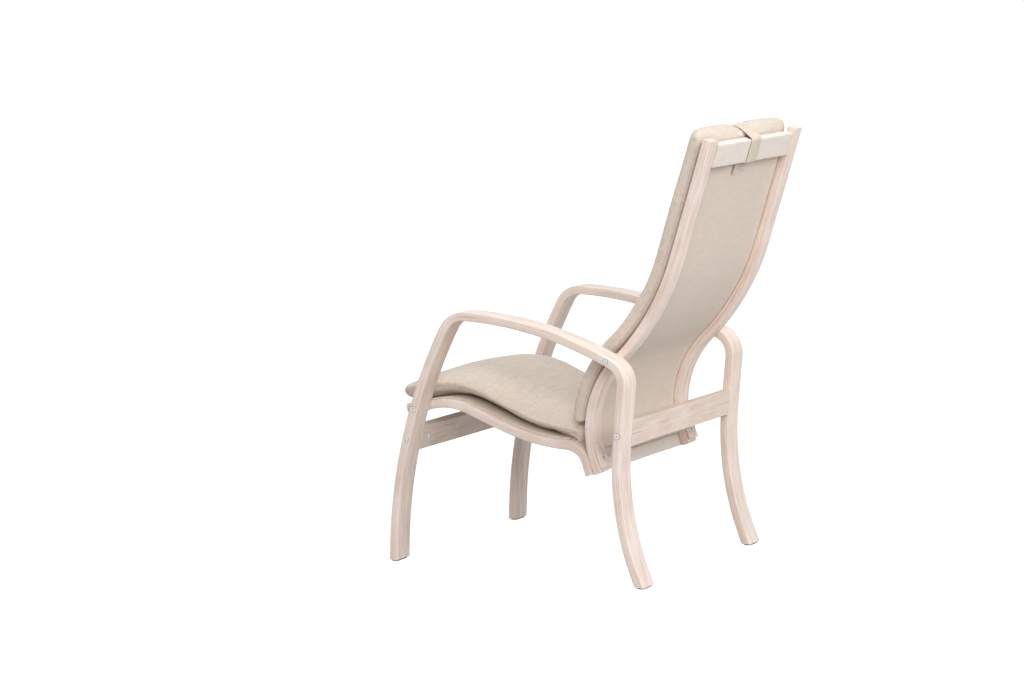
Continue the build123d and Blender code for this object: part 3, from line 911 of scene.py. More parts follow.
def rounded_corners(
    low: tuple[float, float], high: tuple[float, float], radius: float
) -> list[tuple[float, float]]:
    """Return the outline of a rectangle with round corners, in order round it.

    Args:
        low: lowest corner.
        high: highest corner.
        radius: radius of the corners.

    Returns:
        The outline's points.
    """
    points = []
    centres = [
        (high[0] - radius, high[1] - radius, 0),
        (low[0] + radius, high[1] - radius, UPRIGHT),
        (low[0] + radius, low[1] + radius, 2 * UPRIGHT),
        (high[0] - radius, low[1] + radius, 3 * UPRIGHT),
    ]
    for x, y, start in centres:
        for step in range(CORNER_STEPS + 1):
            angle = math.radians(start + UPRIGHT * step / CORNER_STEPS)
            points.append((x + radius * math.cos(angle), y + radius * math.sin(angle)))
    return points


def evaluated_mesh(piece: bpy.types.Object) -> bpy.types.Mesh:
    """Return a plain mesh of a piece with its modifiers applied.

    Args:
        piece: the piece.

    Returns:
        The mesh.
    """
    graph = bpy.context.evaluated_depsgraph_get()
    graph.update()
    return bpy.data.meshes.new_from_object(piece.evaluated_get(graph), depsgraph=graph)


def apply_modifiers(piece: bpy.types.Object) -> None:
    """Turn a piece's modifiers into its own mesh and remove them.

    Args:
        piece: the piece.
    """
    mesh = evaluated_mesh(piece)
    piece.modifiers.clear()
    piece.data = mesh


def cut_away(piece: bpy.types.Object, tools: list[bpy.types.Object]) -> None:
    """Cut tools out of a piece, apply the cuts and remove the tools.

    Args:
        piece: the piece.
        tools: the objects to cut out.
    """
    for tool in tools:
        cut = piece.modifiers.new("counterbore", "BOOLEAN")
        cut.object = tool
        cut.operation = "DIFFERENCE"
        cut.solver = "EXACT"
    apply_modifiers(piece)
    for tool in tools:
        bpy.data.objects.remove(tool)
    smooth(piece.data)


def give_wall(piece: bpy.types.Object, thickness: float, crease: float) -> None:
    """Give a sheet its thickness in millimetres, evenly to both sides, and shade it smooth.

    Args:
        piece: the sheet.
        thickness: its thickness.
        crease: angle past which an edge stays sharp.
    """
    wall = piece.modifiers.new("Solidify", "SOLIDIFY")
    wall.thickness = thickness * MM
    wall.offset = 0
    apply_modifiers(piece)
    smooth(piece.data, crease)


def hand_over(piece: bpy.types.Object, node: str | None = None) -> None:
    """Hide the node that a finished piece stands for, if any, and attach the piece to the root body.

    Args:
        piece: the piece.
        node: the node, if it stands for one.
    """
    if node:
        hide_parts(node)
    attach(piece, "root")
    LOG.info("%s: %d faces", piece.name, len(piece.data.polygons))


@dataclass
class Lamination:
    """A bent lamination that follows a path, with its edges rounded."""

    name: str
    path: Path
    x_low: float
    x_high: float
    across_low: float
    across_high: float
    edge_round: float
    spacing: float = 7.0

    def build(self, material: bpy.types.Material, side: Side) -> bpy.types.Object:
        """Return the lamination as a piece.

        Args:
            material: the wood.
            side: side of the chair.

        Returns:
            The piece.
        """
        low, high = (self.x_low, self.across_low), (self.x_high, self.across_high)
        outline = rounded_corners(low, high, self.edge_round)
        rings = []
        maps = []
        for distance in self.path.stations(0, self.path.length, self.spacing):
            place = self.path.place(distance)
            rings.append([place.shifted(across=across).at(side.value * x) for x, across in outline])
            maps.append([(distance * MM, across * MM) for _, across in outline])
        return new_object(self.name, ring_mesh(self.name, rings, maps), material)


@dataclass
class Counterbore:
    """A round recess for a bolt head in the outer face of a side frame."""

    place: Place
    depth: float = 7.0
    diameter: float = 14.6
    segments: int = 32

    def tool(self, sizes: Sizes, side: Side) -> bpy.types.Object:
        """Return the object that is cut out of the outer face of a side frame."""
        return self.drill(side.value * sizes.frame_outer, Matrix.Rotation(math.radians(UPRIGHT), 4, "Y"))

    def square_tool(self, x: float, side: Side) -> bpy.types.Object:
        """Return the object that is cut square into the face of a bent piece."""
        return self.drill(side.value * x, Matrix.Rotation(math.radians(self.place.heading), 4, "X"))

    def drill(self, x: float, turn: Matrix) -> bpy.types.Object:
        """Return a round object across the counterbore's face at x, turned from upright.

        Args:
            x: place of the face along X.
            turn: the turn.

        Returns:
            The object.
        """
        mesh = bpy.data.meshes.new("counterbore")
        shape = bmesh.new()
        spot = Matrix.Translation(self.place.at(x))
        radius = self.diameter / 2 * MM
        bmesh.ops.create_cone(
            shape,
            cap_ends=True,
            segments=self.segments,
            radius1=radius,
            radius2=radius,
            depth=2 * self.depth * MM,
            matrix=spot @ turn,
        )
        shape.to_mesh(mesh)
        shape.free()
        piece = bpy.data.objects.new("counterbore", mesh)
        bpy.context.scene.collection.objects.link(piece)
        return piece


@dataclass
class SideFrames:
    """The two arched side frames: front leg, arm and rear leg in one bend."""

    sizes: Sizes
    lines: Lines
    finishes: Finishes

    def build(self) -> None:
        """Make both frames and stand them for their nodes."""
        for side in Side:
            name = f"side_frame_{side.name.lower()}"
            frame = Lamination(
                f"{name}_wood",
                self.lines.frame,
                self.sizes.frame_inner,
                self.sizes.frame_outer,
                -self.sizes.half,
                self.sizes.half,
                self.sizes.edge_round,
            ).build(self.finishes.bent_wood, side)
            self.level_feet(frame.data)
            bolts = (
                self.lines.arm_bolt,
                self.lines.seat_bolt,
                self.lines.front_crossbar,
                self.lines.rear_crossbar,
            )
            cut_away(frame, [Counterbore(place).tool(self.sizes, side) for place in bolts])
            hand_over(frame, name)

    def level_feet(self, mesh: bpy.types.Mesh) -> None:
        """Cut a side frame's feet level where they stand on the glides.

        Args:
            mesh: mesh of the side frame.
        """
        shape = bmesh.new()
        shape.from_mesh(mesh)
        everything = list(shape.verts) + list(shape.edges) + list(shape.faces)
        height = Vector((0, 0, self.sizes.glide * MM))
        found = bmesh.ops.bisect_plane(
            shape, geom=everything, plane_co=height, plane_no=Vector((0, 0, 1)), clear_inner=True
        )
        rim = [part for part in found["geom_cut"] if isinstance(part, bmesh.types.BMEdge)]
        bmesh.ops.holes_fill(shape, edges=rim)
        bmesh.ops.recalc_face_normals(shape, faces=shape.faces)
        shape.to_mesh(mesh)
        shape.free()


@dataclass
class Rails:
    """The seat rails, the back rails and the pads at their corner."""

    sizes: Sizes
    lines: Lines
    finishes: Finishes
    pad_thickness: float = 7.5
    pad_rise: float = 7.5
    pad_length: float = 62.0
    pad_taper: float = 26.0
    pad_tip: float = 1.5
    field_margin: float = 20.0
    bolt_rise: float = LinePlan.corner_bolt_rise

    def build(self) -> None:
        """Make the rails and the pads of both sides."""
        half = self.sizes.half
        for side in Side:
            for part, path in (("back", self.lines.back), ("seat", self.lines.seat)):
                name = f"{part}_rail_{side.name.lower()}"
                hand_over(self.wood(name, path, -half, half, side), name)
        pads = []
        for side in Side:
            path = self.lines.back.between(self.pad_rise, self.pad_top)
            name = f"corner_pad_{side.name.lower()}"
            pads.append(self.wood(name, path, -half - self.pad_thickness, -half, side))
            self.bore(pads[-1], side)
        hand_over(pads[0], "corner_pads")
        hand_over(pads[1])

    @property
    def pad_top(self) -> float:
        """Distance along the back rail of a pad's upper end."""
        return self.pad_rise + self.pad_length

    def wood(self, name: str, path: Path, low: float, high: float, side: Side) -> bpy.types.Object:
        """Return one lamination as wide as a rail.

        Args:
            name: name of the piece.
            path: line that it follows.
            low: its rear face's distance from the line.
            high: its front face's distance from the line.
            side: side of the chair.

        Returns:
            The piece.
        """
        piece = Lamination(
            f"{name}_wood",
            path,
            self.sizes.rail_inner,
            self.sizes.rail_outer,
            low,
            high,
            self.sizes.edge_round,
        ).build(self.finishes.bent_wood, side)
        smooth(piece.data)
        return piece

    def bore(self, pad: bpy.types.Object, side: Side) -> None:
        """Cut the corner bolt's counterbore into a pad, and thin the pad towards its top.

        Args:
            pad: the pad.
            side: side of the chair.
        """
        points = read_points(pad.data) / MM
        field = PathField(self.lines.back, 0, self.pad_top + self.field_margin)
        stations, offsets, left = field.measure(points)
        thin = np.clip((stations - (self.pad_top - self.pad_taper)) / self.pad_taper, 0, 1)
        outer = offsets < -self.sizes.half - self.pad_thickness / 2
        points[:, 1:] += left * (thin * outer * (self.pad_thickness - self.pad_tip))[:, None]
        write_points(pad.data, points * MM)
        face = -self.sizes.half - self.pad_thickness
        place = self.lines.back.place(self.bolt_rise).shifted(across=face)
        middle = self.sizes.rail_inner + self.sizes.rail_width / 2
        cut_away(pad, [Counterbore(place).square_tool(middle, side)])


@dataclass
class PathField:
    """Closest station and offset of points beside a path, from places sampled along it."""

    path: Path
    first: float
    last: float
    spacing: float = 2.0
    batch: int = 4000

    def __post_init__(self) -> None:
        """Sample the path."""
        count = int((self.last - self.first) / self.spacing) + 1
        self.stations = np.linspace(self.first, self.last, count)
        places = [self.path.place(station) for station in self.stations]
        self.spots = np.array([(place.y, place.z) for place in places])
        angles = np.radians([place.heading for place in places])
        self.ahead = np.column_stack([np.cos(angles), np.sin(angles)])
        self.left = np.column_stack([-np.sin(angles), np.cos(angles)])

    def measure(self, points: np.ndarray) -> tuple[np.ndarray, np.ndarray, np.ndarray]:
        """Return the station, the offset and the direction to the left of each point.

        Args:
            points: rows of x, y, z in millimetres.

        Returns:
            Stations, signed offsets, and the unit vectors to the left of the path.
        """
        nearest = np.empty(len(points), dtype=int)
        for low in range(0, len(points), self.batch):
            part = points[low : low + self.batch, None, 1:] - self.spots[None]
            nearest[low : low + self.batch] = (part**2).sum(axis=2).argmin(axis=1)
        off = points[:, 1:] - self.spots[nearest]
        stations = self.stations[nearest] + (off * self.ahead[nearest]).sum(axis=1)
        return stations, (off * self.left[nearest]).sum(axis=1), self.left[nearest]


@dataclass(frozen=True)
class PadShape:
    """Heights of a cushion above its path in millimetres, at its middle and at its sides."""

    crown: float
    edge_top: float
    edge_lift: float
    base: float
    half_width: float = 254.0
    crown_drift: float = 0.0
    edge_drift: float = 0.0
    corner_pull: float = 4.0
    nose_fade: float = 90.0
    slope_lift: float = 0.0
    rear_drop: float = 0.0
    rear_sink: float = 0.0
    slope_place: float = 0.42
    slope_spread: float = 0.2
    rear_start: float = 0.8
    rear_run: float = 0.2
    rear_curve: float = 1.5
    square: int = 24
    thin_side: float = 0.25

    def band(self, station: float, along: float, length: float) -> tuple[float, float]:
        """Return the low and high side of the cushion at one spot.

        Args:
            station: share of the half width, from 0 to 1.
            along: distance from the front end.
            length: length of the cushion's path.

        Returns:
            The heights of the underside and of the top above the path.
        """
        full = 1 - station**4
        share = along / length
        edge_top = self.edge_top + self.edge_drift * share
        slope = math.exp(-(((share - self.slope_place) / self.slope_spread) ** 2))
        edge_lift = self.edge_lift + self.slope_lift * slope
        rear = min(1.0, max(0.0, (share - self.rear_start) / self.rear_run)) ** self.rear_curve
        edge_lift -= (self.rear_drop + self.rear_sink) * rear
        crown = self.crown + self.crown_drift * share
        fade = min(1.0, max(0.0, along / self.nose_fade))
        fade = fade * fade * (3 - 2 * fade)
        squash = max(0.0, 1 - station**self.square) ** (1 / 3)
        seam = (edge_top + edge_lift) / 2
        side = (edge_top - edge_lift) / 2 * (self.thin_side + (1 - self.thin_side) * squash)
        high = seam + side + (crown - edge_top) * full * fade
        low = seam - side + (self.base - self.rear_sink * rear - edge_lift) * full
        return low, high


def inflate(
    piece: bpy.types.Object, pins: np.ndarray, pressure: float, cap: float, frames: int = 20
) -> None:
    """Inflate a closed piece as cloth and keep the result in its mesh.

    Args:
        piece: the object to inflate.
        pins: how firmly each vertex is held, from 0 to 1.
        pressure: force of the air inside.
        cap: furthest that a point may move, in metres.
        frames: number of frames that the cloth gets to settle.
    """
    scene = bpy.context.scene
    group = piece.vertex_groups.new(name="seams")
    least_pin = 0.01
    for index in np.nonzero(pins > least_pin)[0]:
        group.add([int(index)], float(pins[index]), "REPLACE")
    cloth = piece.modifiers.new("Cloth", "CLOTH")
    cloth.settings.quality = 5
    cloth.settings.mass = 0.3
    cloth.settings.tension_stiffness = 18
    cloth.settings.compression_stiffness = 12
    cloth.settings.shear_stiffness = 8
    cloth.settings.bending_stiffness = 1.5
    cloth.settings.use_pressure = True
    cloth.settings.uniform_pressure_force = pressure
    cloth.settings.effector_weights.gravity = 0
    cloth.settings.vertex_group_mass = "seams"
    cloth.point_cache.frame_start = 1
    cloth.point_cache.frame_end = frames
    rest = read_points(piece.data)
    for step in range(1, frames + 1):
        scene.frame_set(step)
    moved = read_points(evaluated_mesh(piece)) - rest
    scene.frame_set(1)
    piece.modifiers.clear()
    piece.vertex_groups.clear()
    length = np.linalg.norm(moved, axis=1, keepdims=True)
    moved *= np.minimum(1.0, cap / np.maximum(length, 1e-9))
    write_points(piece.data, rest + moved)


def read_points(mesh: bpy.types.Mesh) -> np.ndarray:
    """Return a mesh's points as rows.

    Args:
        mesh: the mesh.

    Returns:
        Rows of x, y, z.
    """
    points = np.empty(len(mesh.vertices) * 3)
    mesh.vertices.foreach_get("co", points)
    return points.reshape(-1, 3)


def write_points(mesh: bpy.types.Mesh, points: np.ndarray) -> None:
    """Set a mesh's points."""
    mesh.vertices.foreach_set("co", points.ravel())
    mesh.update()


def read_normals(mesh: bpy.types.Mesh) -> np.ndarray:
    """Return a mesh's normals at its points as rows.

    Args:
        mesh: the mesh.

    Returns:
        Rows of x, y, z.
    """
    normals = np.empty(len(mesh.vertices) * 3)
    mesh.vertex_normals.foreach_get("vector", normals)
    return normals.reshape(-1, 3)


@dataclass(frozen=True)
class Groove:
    """A groove across the roll of a cushion, where something draws its cover in."""

    x: float
    width: float
    depth: float
    slant: float = 0.0
    slant_start: float = 11.0
    slant_run: float = 50.0

    def share(self, xs: np.ndarray, offsets: np.ndarray) -> np.ndarray:
        """Return the groove's depth at distances from the middle and from the cushion's path."""
        middle = self.x - self.slant * np.clip(offsets - self.slant_start, 0, self.slant_run)
        return self.depth * np.exp(-(((xs - middle) / self.width) ** 2))


@dataclass
class Cushion:
    """A foam cushion in a sewn cover, boxed at its sides and crowned in the middle."""

    name: str
    node: str
    path: Path
    shape: PadShape
    first: float
    last: float
    first_bulge: float
    last_bulge: float
    middle_start: float
    material: bpy.types.Material
    keep_off: float
    roll_at: float = 1.0
    roll_least: float = 0.45
    roll_square: int = 36
    folds: float = 0.0
    fold_length: float = 5.5
    fold_width: float = 90.0
    fold_inset: float = 22.0
    fold_fade: float = 12.0
    fold_start: float = 95.0
    fold_run: float = 70.0
    undercut: float = 0.0
    undercut_start: float = 190.0
    grooves: tuple[Groove, ...] = ()
    groove_start: float = 38.0
    groove_run: float = 34.0
    voxel: float = 5.0
    columns: int = 80
    rows: int = 70
    bulge_rows: int = 10
    field_margin: float = 60.0
    shrink: float = 3.0
    pressure: float = 3.5
    cap: float = 9.0
    fill: float = 0.7
    seam_depth: float = 1.4
    seam_width: float = 2.2
    seam_inset: float = 4.0
    seam_side_inset: float = 5.0
    pin_reach: float = 7.0
    pucker_depth: float = 1.1
    pucker_reach: float = 9.0
    pucker_pitch: float = 8.0
    dent_depth: float = 1.2
    dent_size: float = 70.0
    fold_seed: float = 7.0

    def outline(self, x: float) -> list[Vector]:
        """Return the closed outline of the cushion at one distance from the middle.

        Args:
            x: distance from the middle.

        Returns:
            The outline's points.
        """
        station = min(1.0, abs(x) / (self.shape.half_width - self.shrink))
        full = 1 - station**4
        pull = self.shape.corner_pull * station**16
        first = self.first + self.middle_start * full + pull + self.shrink
        last = self.last - pull - self.shrink
        length = last - first
        steps = [first + length * k / self.rows for k in range(self.rows + 1)]
        bands = [self.shape.band(station, at - self.first, self.last - self.first) for at in steps]
        places = [self.path.place(at) for at in steps]
        points = [place.shifted(across=low).at(x) for place, (low, _) in zip(places, bands)]
        reach = self.reach(1.0, bands[-1], self.last_bulge, station)
        points += self.bulge(places[-1], bands[-1], reach, x, 1)
        tops = reversed(list(zip(places, bands)))
        points += [place.shifted(across=high).at(x) for place, (_, high) in tops]
        reach = self.reach(0.0, bands[0], self.first_bulge, station)
        points += self.bulge(places[0], bands[0], reach, x, -1)
        return points

    def reach(self, end: float, band: tuple[float, float], share: float, station: float) -> float:
        """Return how far an end bulges, evenly over the width where the cushion has its roll.

        Args:
            end: 0 for the first end and 1 for the last.
            band: heights of the underside and of the top.
            share: reach as a share of the height.
            station: share of the half width.

        Returns:
            The reach.
        """
        if end != self.roll_at:
            return share * (band[1] - band[0])
        crown = self.shape.crown + self.shape.crown_drift * end - self.shape.base
        even = max(0.0, 1 - station**self.roll_square)
        return share * crown * (self.roll_least + (1 - self.roll_least) * even)

    def bulge(
        self, place: Place, band: tuple[float, float], reach: float, x: float, way: int
    ) -> list[Vector]:
        """Return the points of a rounded end, from its low side or from its high side.

        Args:
            place: place of the end.
            band: heights of the underside and of the top.
            reach: how far the end bulges.
            x: distance from the middle.
            way: 1 at the last end and -1 at the first.

        Returns:
            The points.
        """
        low, high = band
        middle, half = (low + high) / 2, (high - low) / 2
        points = []
        for k in range(1, self.bulge_rows):
            angle = math.pi * k / self.bulge_rows
            along = way * reach * math.sin(angle)
            points.append(place.shifted(along, middle - way * half * math.cos(angle)).at(x))
        return points

    def start_mesh(self) -> bpy.types.Mesh:
        """Return the cover before it is filled.

        Returns:
            The mesh.
        """
        half = self.shape.half_width - self.shrink
        rings = []
        for column in range(self.columns + 1):
            x = half * math.sin(math.radians(UPRIGHT * (2 * column / self.columns - 1)))
            rings.append(self.outline(x))
        return ring_mesh(self.name, rings)

    def build(self) -> bpy.types.Object:
        """Make the cushion and stand it for its node.

        Returns:
            The cushion.
        """
        piece = new_object(self.name, self.start_mesh(), self.material)
        even = piece.modifiers.new("Remesh", "REMESH")
        even.mode = "VOXEL"
        even.voxel_size = self.voxel * MM
        apply_modifiers(piece)
        field = PathField(self.path, self.first - self.field_margin, self.last + self.field_margin)
        self.slant_sides(piece, field)
        inflate(piece, self.pins(piece, field), self.pressure, self.cap * MM)
        self.seat(piece, field)
        finer = piece.modifiers.new("Subdivision", "SUBSURF")
        finer.levels = 1
        finer.render_levels = 1
        apply_modifiers(piece)
        self.sew(piece, field)
        self.draw_in(piece, field)
        self.seat(piece, field)
        piece.data.materials.clear()
        piece.data.materials.append(self.material)
        smooth(piece.data, SOFT_CREASE)
        hand_over(piece, self.node)
        return piece

    def slant_sides(self, piece: bpy.types.Object, field: PathField) -> None:
        """Bring the lower edges of the sides in by the undercut.

        Args:
            piece: the cushion.
            field: field of its path.
        """
        points = read_points(piece.data) / MM
        _, offsets, _ = field.measure(points)
        start = self.undercut_start
        side = np.clip((np.abs(points[:, 0]) - start) / (self.shape.half_width - start), 0, 1)
        height = self.shape.edge_top - self.shape.edge_lift
        low = np.clip((self.shape.edge_top - offsets) / height, 0, 1)
        points[:, 0] -= np.sign(points[:, 0]) * self.undercut * side * low
        write_points(piece.data, points * MM)

    def seam_distance(self, points: np.ndarray, stations: np.ndarray, offsets: np.ndarray) -> np.ndarray:
        """Return each point's distance from the nearest seam of the boxed sides.

        Args:
            points: rows of x, y, z.
            stations: their stations.
            offsets: their offsets.

        Returns:
            The distances.
        """
        share = np.clip((stations - self.first) / (self.last - self.first), 0, 1)
        tops = self.shape.edge_top + self.shape.edge_drift * share - self.seam_inset
        lows = np.full(len(points), self.shape.edge_lift + self.seam_inset)
        out = np.abs(points[:, 0]) - (self.shape.half_width - self.seam_side_inset)
        near = np.minimum((offsets - tops) ** 2, (offsets - lows) ** 2)
        return np.sqrt(out**2 + near)

    def pins(self, piece: bpy.types.Object, field: PathField) -> np.ndarray:
        """Return how firmly each point is held: wholly at the seams, and not away from them.

        Args:
            piece: the cushion.
            field: field of its path.

        Returns:
            A hold from 0 to 1 for each point.
        """
        points = read_points(piece.data) / MM
        stations, offsets, _ = field.measure(points)
        return np.exp(-((self.seam_distance(points, stations, offsets) / self.pin_reach) ** 2))

    def sew(self, piece: bpy.types.Object, field: PathField) -> None:
        """Draw the cover in along its seams, with small puckers beside them.

        Args:
            piece: the cushion.
            field: field of its path.
        """
        points = read_points(piece.data) / MM
        normals = read_normals(piece.data)
        stations, offsets, _ = field.measure(points)
        gap = self.seam_distance(points, stations, offsets)
        depth = self.seam_depth * np.exp(-((gap / self.seam_width) ** 2))
        ripple = np.array([noise.noise(Vector((s / self.pucker_pitch, 0, 0))) for s in stations])
        dents = np.array([noise.noise(Vector(p / self.dent_size)) for p in points])
        pucker = self.pucker_depth * ripple * np.exp(-((gap / self.pucker_reach) ** 2))
        depth += pucker - self.dent_depth * dents
        out = np.abs(points[:, 0]) - self.shape.half_width + self.fold_inset
        side = np.clip(out / self.fold_fade, 0, 1)
        spots = zip(stations / self.fold_length, points[:, 0] / self.fold_width)
        fold = np.array([noise.noise(Vector((along, wide, self.fold_seed))) for along, wide in spots])
        rear = np.clip((stations - self.last + self.fold_start) / self.fold_run, 0, 1)
        depth += self.folds * fold * side * rear
        write_points(piece.data, (points - normals * depth[:, None]) * MM)

    def draw_in(self, piece: bpy.types.Object, field: PathField) -> None:
        """Draw the cover in at the grooves across the cushion's roll.

        Args:
            piece: the cushion.
            field: field of its path.
        """
        points = read_points(piece.data) / MM
        normals = read_normals(piece.data)
        stations, offsets, _ = field.measure(points)
        roll = np.clip((stations - self.last + self.groove_start) / self.groove_run, 0, 1)
        roll = roll * roll * (3 - 2 * roll)
        depth = np.zeros(len(points))
        for groove in self.grooves:
            depth = depth + groove.share(points[:, 0], offsets)
        write_points(piece.data, (points - normals * (depth * roll)[:, None]) * MM)

    def seat(self, piece: bpy.types.Object, field: PathField) -> None:
        """Keep the underside of the cushion off what carries it.

        Args:
            piece: the cushion.
            field: field of its path.
        """
        points = read_points(piece.data) / MM
        stations, offsets, left = field.measure(points)
        shape = self.shape
        share = (stations - self.first) / (self.last - self.first)
        start = shape.rear_start / shape.rear_run
        rear = np.clip(share / shape.rear_run - start, 0, 1) ** shape.rear_curve
        short = np.maximum(0.0, self.keep_off - shape.rear_sink * rear - offsets)
        points[:, 1:] += left * short[:, None]
        write_points(piece.data, points * MM)


@dataclass(frozen=True)
class Opening:
    """A rectangular hole in a canvas panel, in millimetres along and across it."""

    half_width: float
    low: float
    high: float


@dataclass
class Panel:
    """A canvas panel stretched over two rails, narrower where it lies between them."""

    name: str
    node: str
    path: Path
    first: float
    last: float
    wide_first: float
    wide_last: float
    rests_on: list[str]
    material: bpy.types.Material
    sizes: Sizes
    opening: Opening | None = None
    half_wide: float = 249.5
    fixed_half: float = 200.0
    sag: float = 2.0
    spacing: float = 9.0
    columns: int = 24
    margin_columns: int = 20
    hem: float = 24.0
    hem_pitch: float = 8.0
    hem_ridge: float = 0.0
    side_gap: float = 0.5
    step: float = 0.5
    sag_fade: float = 60.0
    ripple: float = 0.5
    ripple_width: float = 60.0
    ripple_length: float = 90.0
    crease: float = 50.0

    def half_at(self, station: float) -> float:
        """Return half the width of the panel at a station."""
        wide = self.wide_first <= station <= self.wide_last
        return self.half_wide if wide else self.sizes.rail_inner - self.side_gap

    def stations(self) -> list[float]:
        """Return the stations of the panel's rows, with its steps and opening among them.

        Returns:
            The stations in rising order.
        """
        marks = [self.first, self.wide_first - self.step, self.wide_first]
        marks += [self.wide_last, self.wide_last + self.step, self.last]
        if self.opening:
            marks += [self.opening.low, self.opening.high]
        return spread(sorted(mark for mark in marks if self.first <= mark <= self.last), self.spacing)

    def columns_at(self, half: float) -> list[float]:
        """Return the distances from the middle of the points in a row of half a width.

        Args:
            half: half the width of the row.

        Returns:
            The distances in rising order.
        """
        inner = self.opening.half_width if self.opening else self.fixed_half / 4
        found = [0.0, inner / 2, inner]
        for low, high, steps in (
            (inner, self.fixed_half, self.columns),
            (self.fixed_half, half, self.margin_columns),
        ):
            found += [low + (high - low) * k / steps for k in range(1, steps + 1)]
        return [-x for x in reversed(found[1:])] + found

    def height_at(self, x: float, station: float) -> float:
        """Return how far the panel stands off the rails' middle line at a spot.

        Args:
            x: distance from the middle.
            station: distance along the path.

        Returns:
            The height.
        """
        fade = min(1.0, min(station - self.first, self.last - station) / self.sag_fade)
        level = self.sizes.half + self.sizes.lift + self.sizes.canvas / 2
        share = min(1.0, abs(x) / self.sizes.rail_inner)
        slack = self.sag * fade * (1 - share**2)
        wave = noise.noise(Vector((x / self.ripple_width, station / self.ripple_length, 0)))
        ripple = self.ripple * wave * (1 - share)
        edge = self.half_wide - abs(x)
        hem = self.hem_ridge * max(0.0, 1 - edge / self.hem) ** 0.2
        hem *= math.sin(math.pi * edge / self.hem_pitch) ** 2
        return level - slack + ripple + hem

    def build(self) -> bpy.types.Object:
        """Make the panel and stand it for its node.

        Returns:
            The panel.
        """
        shape = bmesh.new()
        rows = []
        stations = self.stations()
        for station in stations:
            place = self.path.place(station)
            row = []
            for x in self.columns_at(self.half_at(station)):
                row.append(shape.verts.new(place.shifted(across=self.height_at(x, station)).at(x)))
            rows.append(row)
        for index, (low, high) in enumerate(zip(rows, rows[1:])):
            for k in range(len(low) - 1):
                if not self.open_at((stations[index] + stations[index + 1]) / 2, k, len(low)):
                    shape.faces.new((low[k], low[k + 1], high[k + 1], high[k]))
        bmesh.ops.recalc_face_normals(shape, faces=shape.faces)
        area = sum(face.calc_area() for face in shape.faces)
        mesh = bpy.data.meshes.new(self.name)
        shape.to_mesh(mesh)
        shape.free()
        piece = new_object(self.name, mesh, self.material)
        give_wall(piece, self.sizes.canvas, self.crease)
        flat = (2 * self.half_wide * MM, (self.last - self.first) * MM)
        area = min(area, flat[0] * flat[1])
        hand_over(piece, self.node)
        return piece

    def open_at(self, station: float, column: int, count: int) -> bool:
        """Tell whether a face of the grid lies in the panel's opening.

        Args:
            station: middle of the face along the path.
            column: its column.
            count: points in a row.

        Returns:
            Whether the face is left out.
        """
        if not self.opening or not self.opening.low < station < self.opening.high:
            return False
        middle = (count - 1) / 2
        return abs(column + 0.5 - middle) < 2


@dataclass
class Sleeve:
    """A canvas sleeve round a bar, closed by a seam and hemmed at its ends."""

    name: str
    node: str
    place: Place
    height: float
    thickness: float
    x_low: float
    x_high: float
    rests_on: str
    material: bpy.types.Material
    sizes: Sizes
    round_edge: float = 2.2
    spacing: float = 4.0
    round_spacing: float = 5.0
    slack: float = 0.9
    tight: float = -0.2
    wave: tuple[float, float, float] = (16.0, 22.0, 9.0)
    swell: tuple[float, float] = (55.0, 40.0)
    swell_seed: float = 3.0

    def puff(self, x: float, along: float, across: float) -> float:
        """Return how far the cloth stands off the bar at a spot, in small and in wide waves.

        Args:
            x: distance from the middle.
            along: place along the bar's height.
            across: place across it.

        Returns:
            The distance.
        """
        small = Vector((x / self.wave[0], along / self.wave[1], across / self.wave[2]))
        wide = Vector((x / self.swell[0], along / self.swell[1], self.swell_seed))
        return max(self.tight, self.slack * noise.noise(small) + self.slack * noise.noise(wide))

    def outline(self, x: float) -> list[Vector]:
        """Return the sleeve's middle line round the bar at a distance from the middle.

        Args:
            x: distance from the middle.

        Returns:
            The points in order.
        """
        high = (self.height / 2, self.thickness / 2)
        low = (-high[0], -high[1])
        points = []
        corners = rounded_corners(low, high, self.round_edge)
        for first, last in zip(corners, corners[1:] + corners[:1]):
            gap = math.dist(first, last)
            steps = max(1, round(gap / self.round_spacing))
            for k in range(steps):
                along = first[0] + (last[0] - first[0]) * k / steps
                across = first[1] + (last[1] - first[1]) * k / steps
                puff = self.puff(x, along, across)
                grow = 1 + 2 * puff / self.height
                thick = 1 + 2 * puff / self.thickness
                points.append(self.place.shifted(along * grow, across * thick).at(x))
        return points

    def build(self) -> bpy.types.Object:
        """Make the sleeve and stand it for its node.

        Returns:
            The sleeve.
        """
        length = self.x_high - self.x_low
        steps = max(2, round(length / self.spacing))
        rings = [self.outline(self.x_low + length * k / steps) for k in range(steps + 1)]
        shape = bmesh.new()
        join_rows(shape, [[shape.verts.new(point) for point in ring] for ring in rings])
        bmesh.ops.recalc_face_normals(shape, faces=shape.faces)
        mesh = bpy.data.meshes.new(self.name)
        shape.to_mesh(mesh)
        shape.free()
        piece = new_object(self.name, mesh, self.material)
        give_wall(piece, self.sizes.canvas, SOFT_CREASE)
        hand_over(piece, self.node)
        return piece


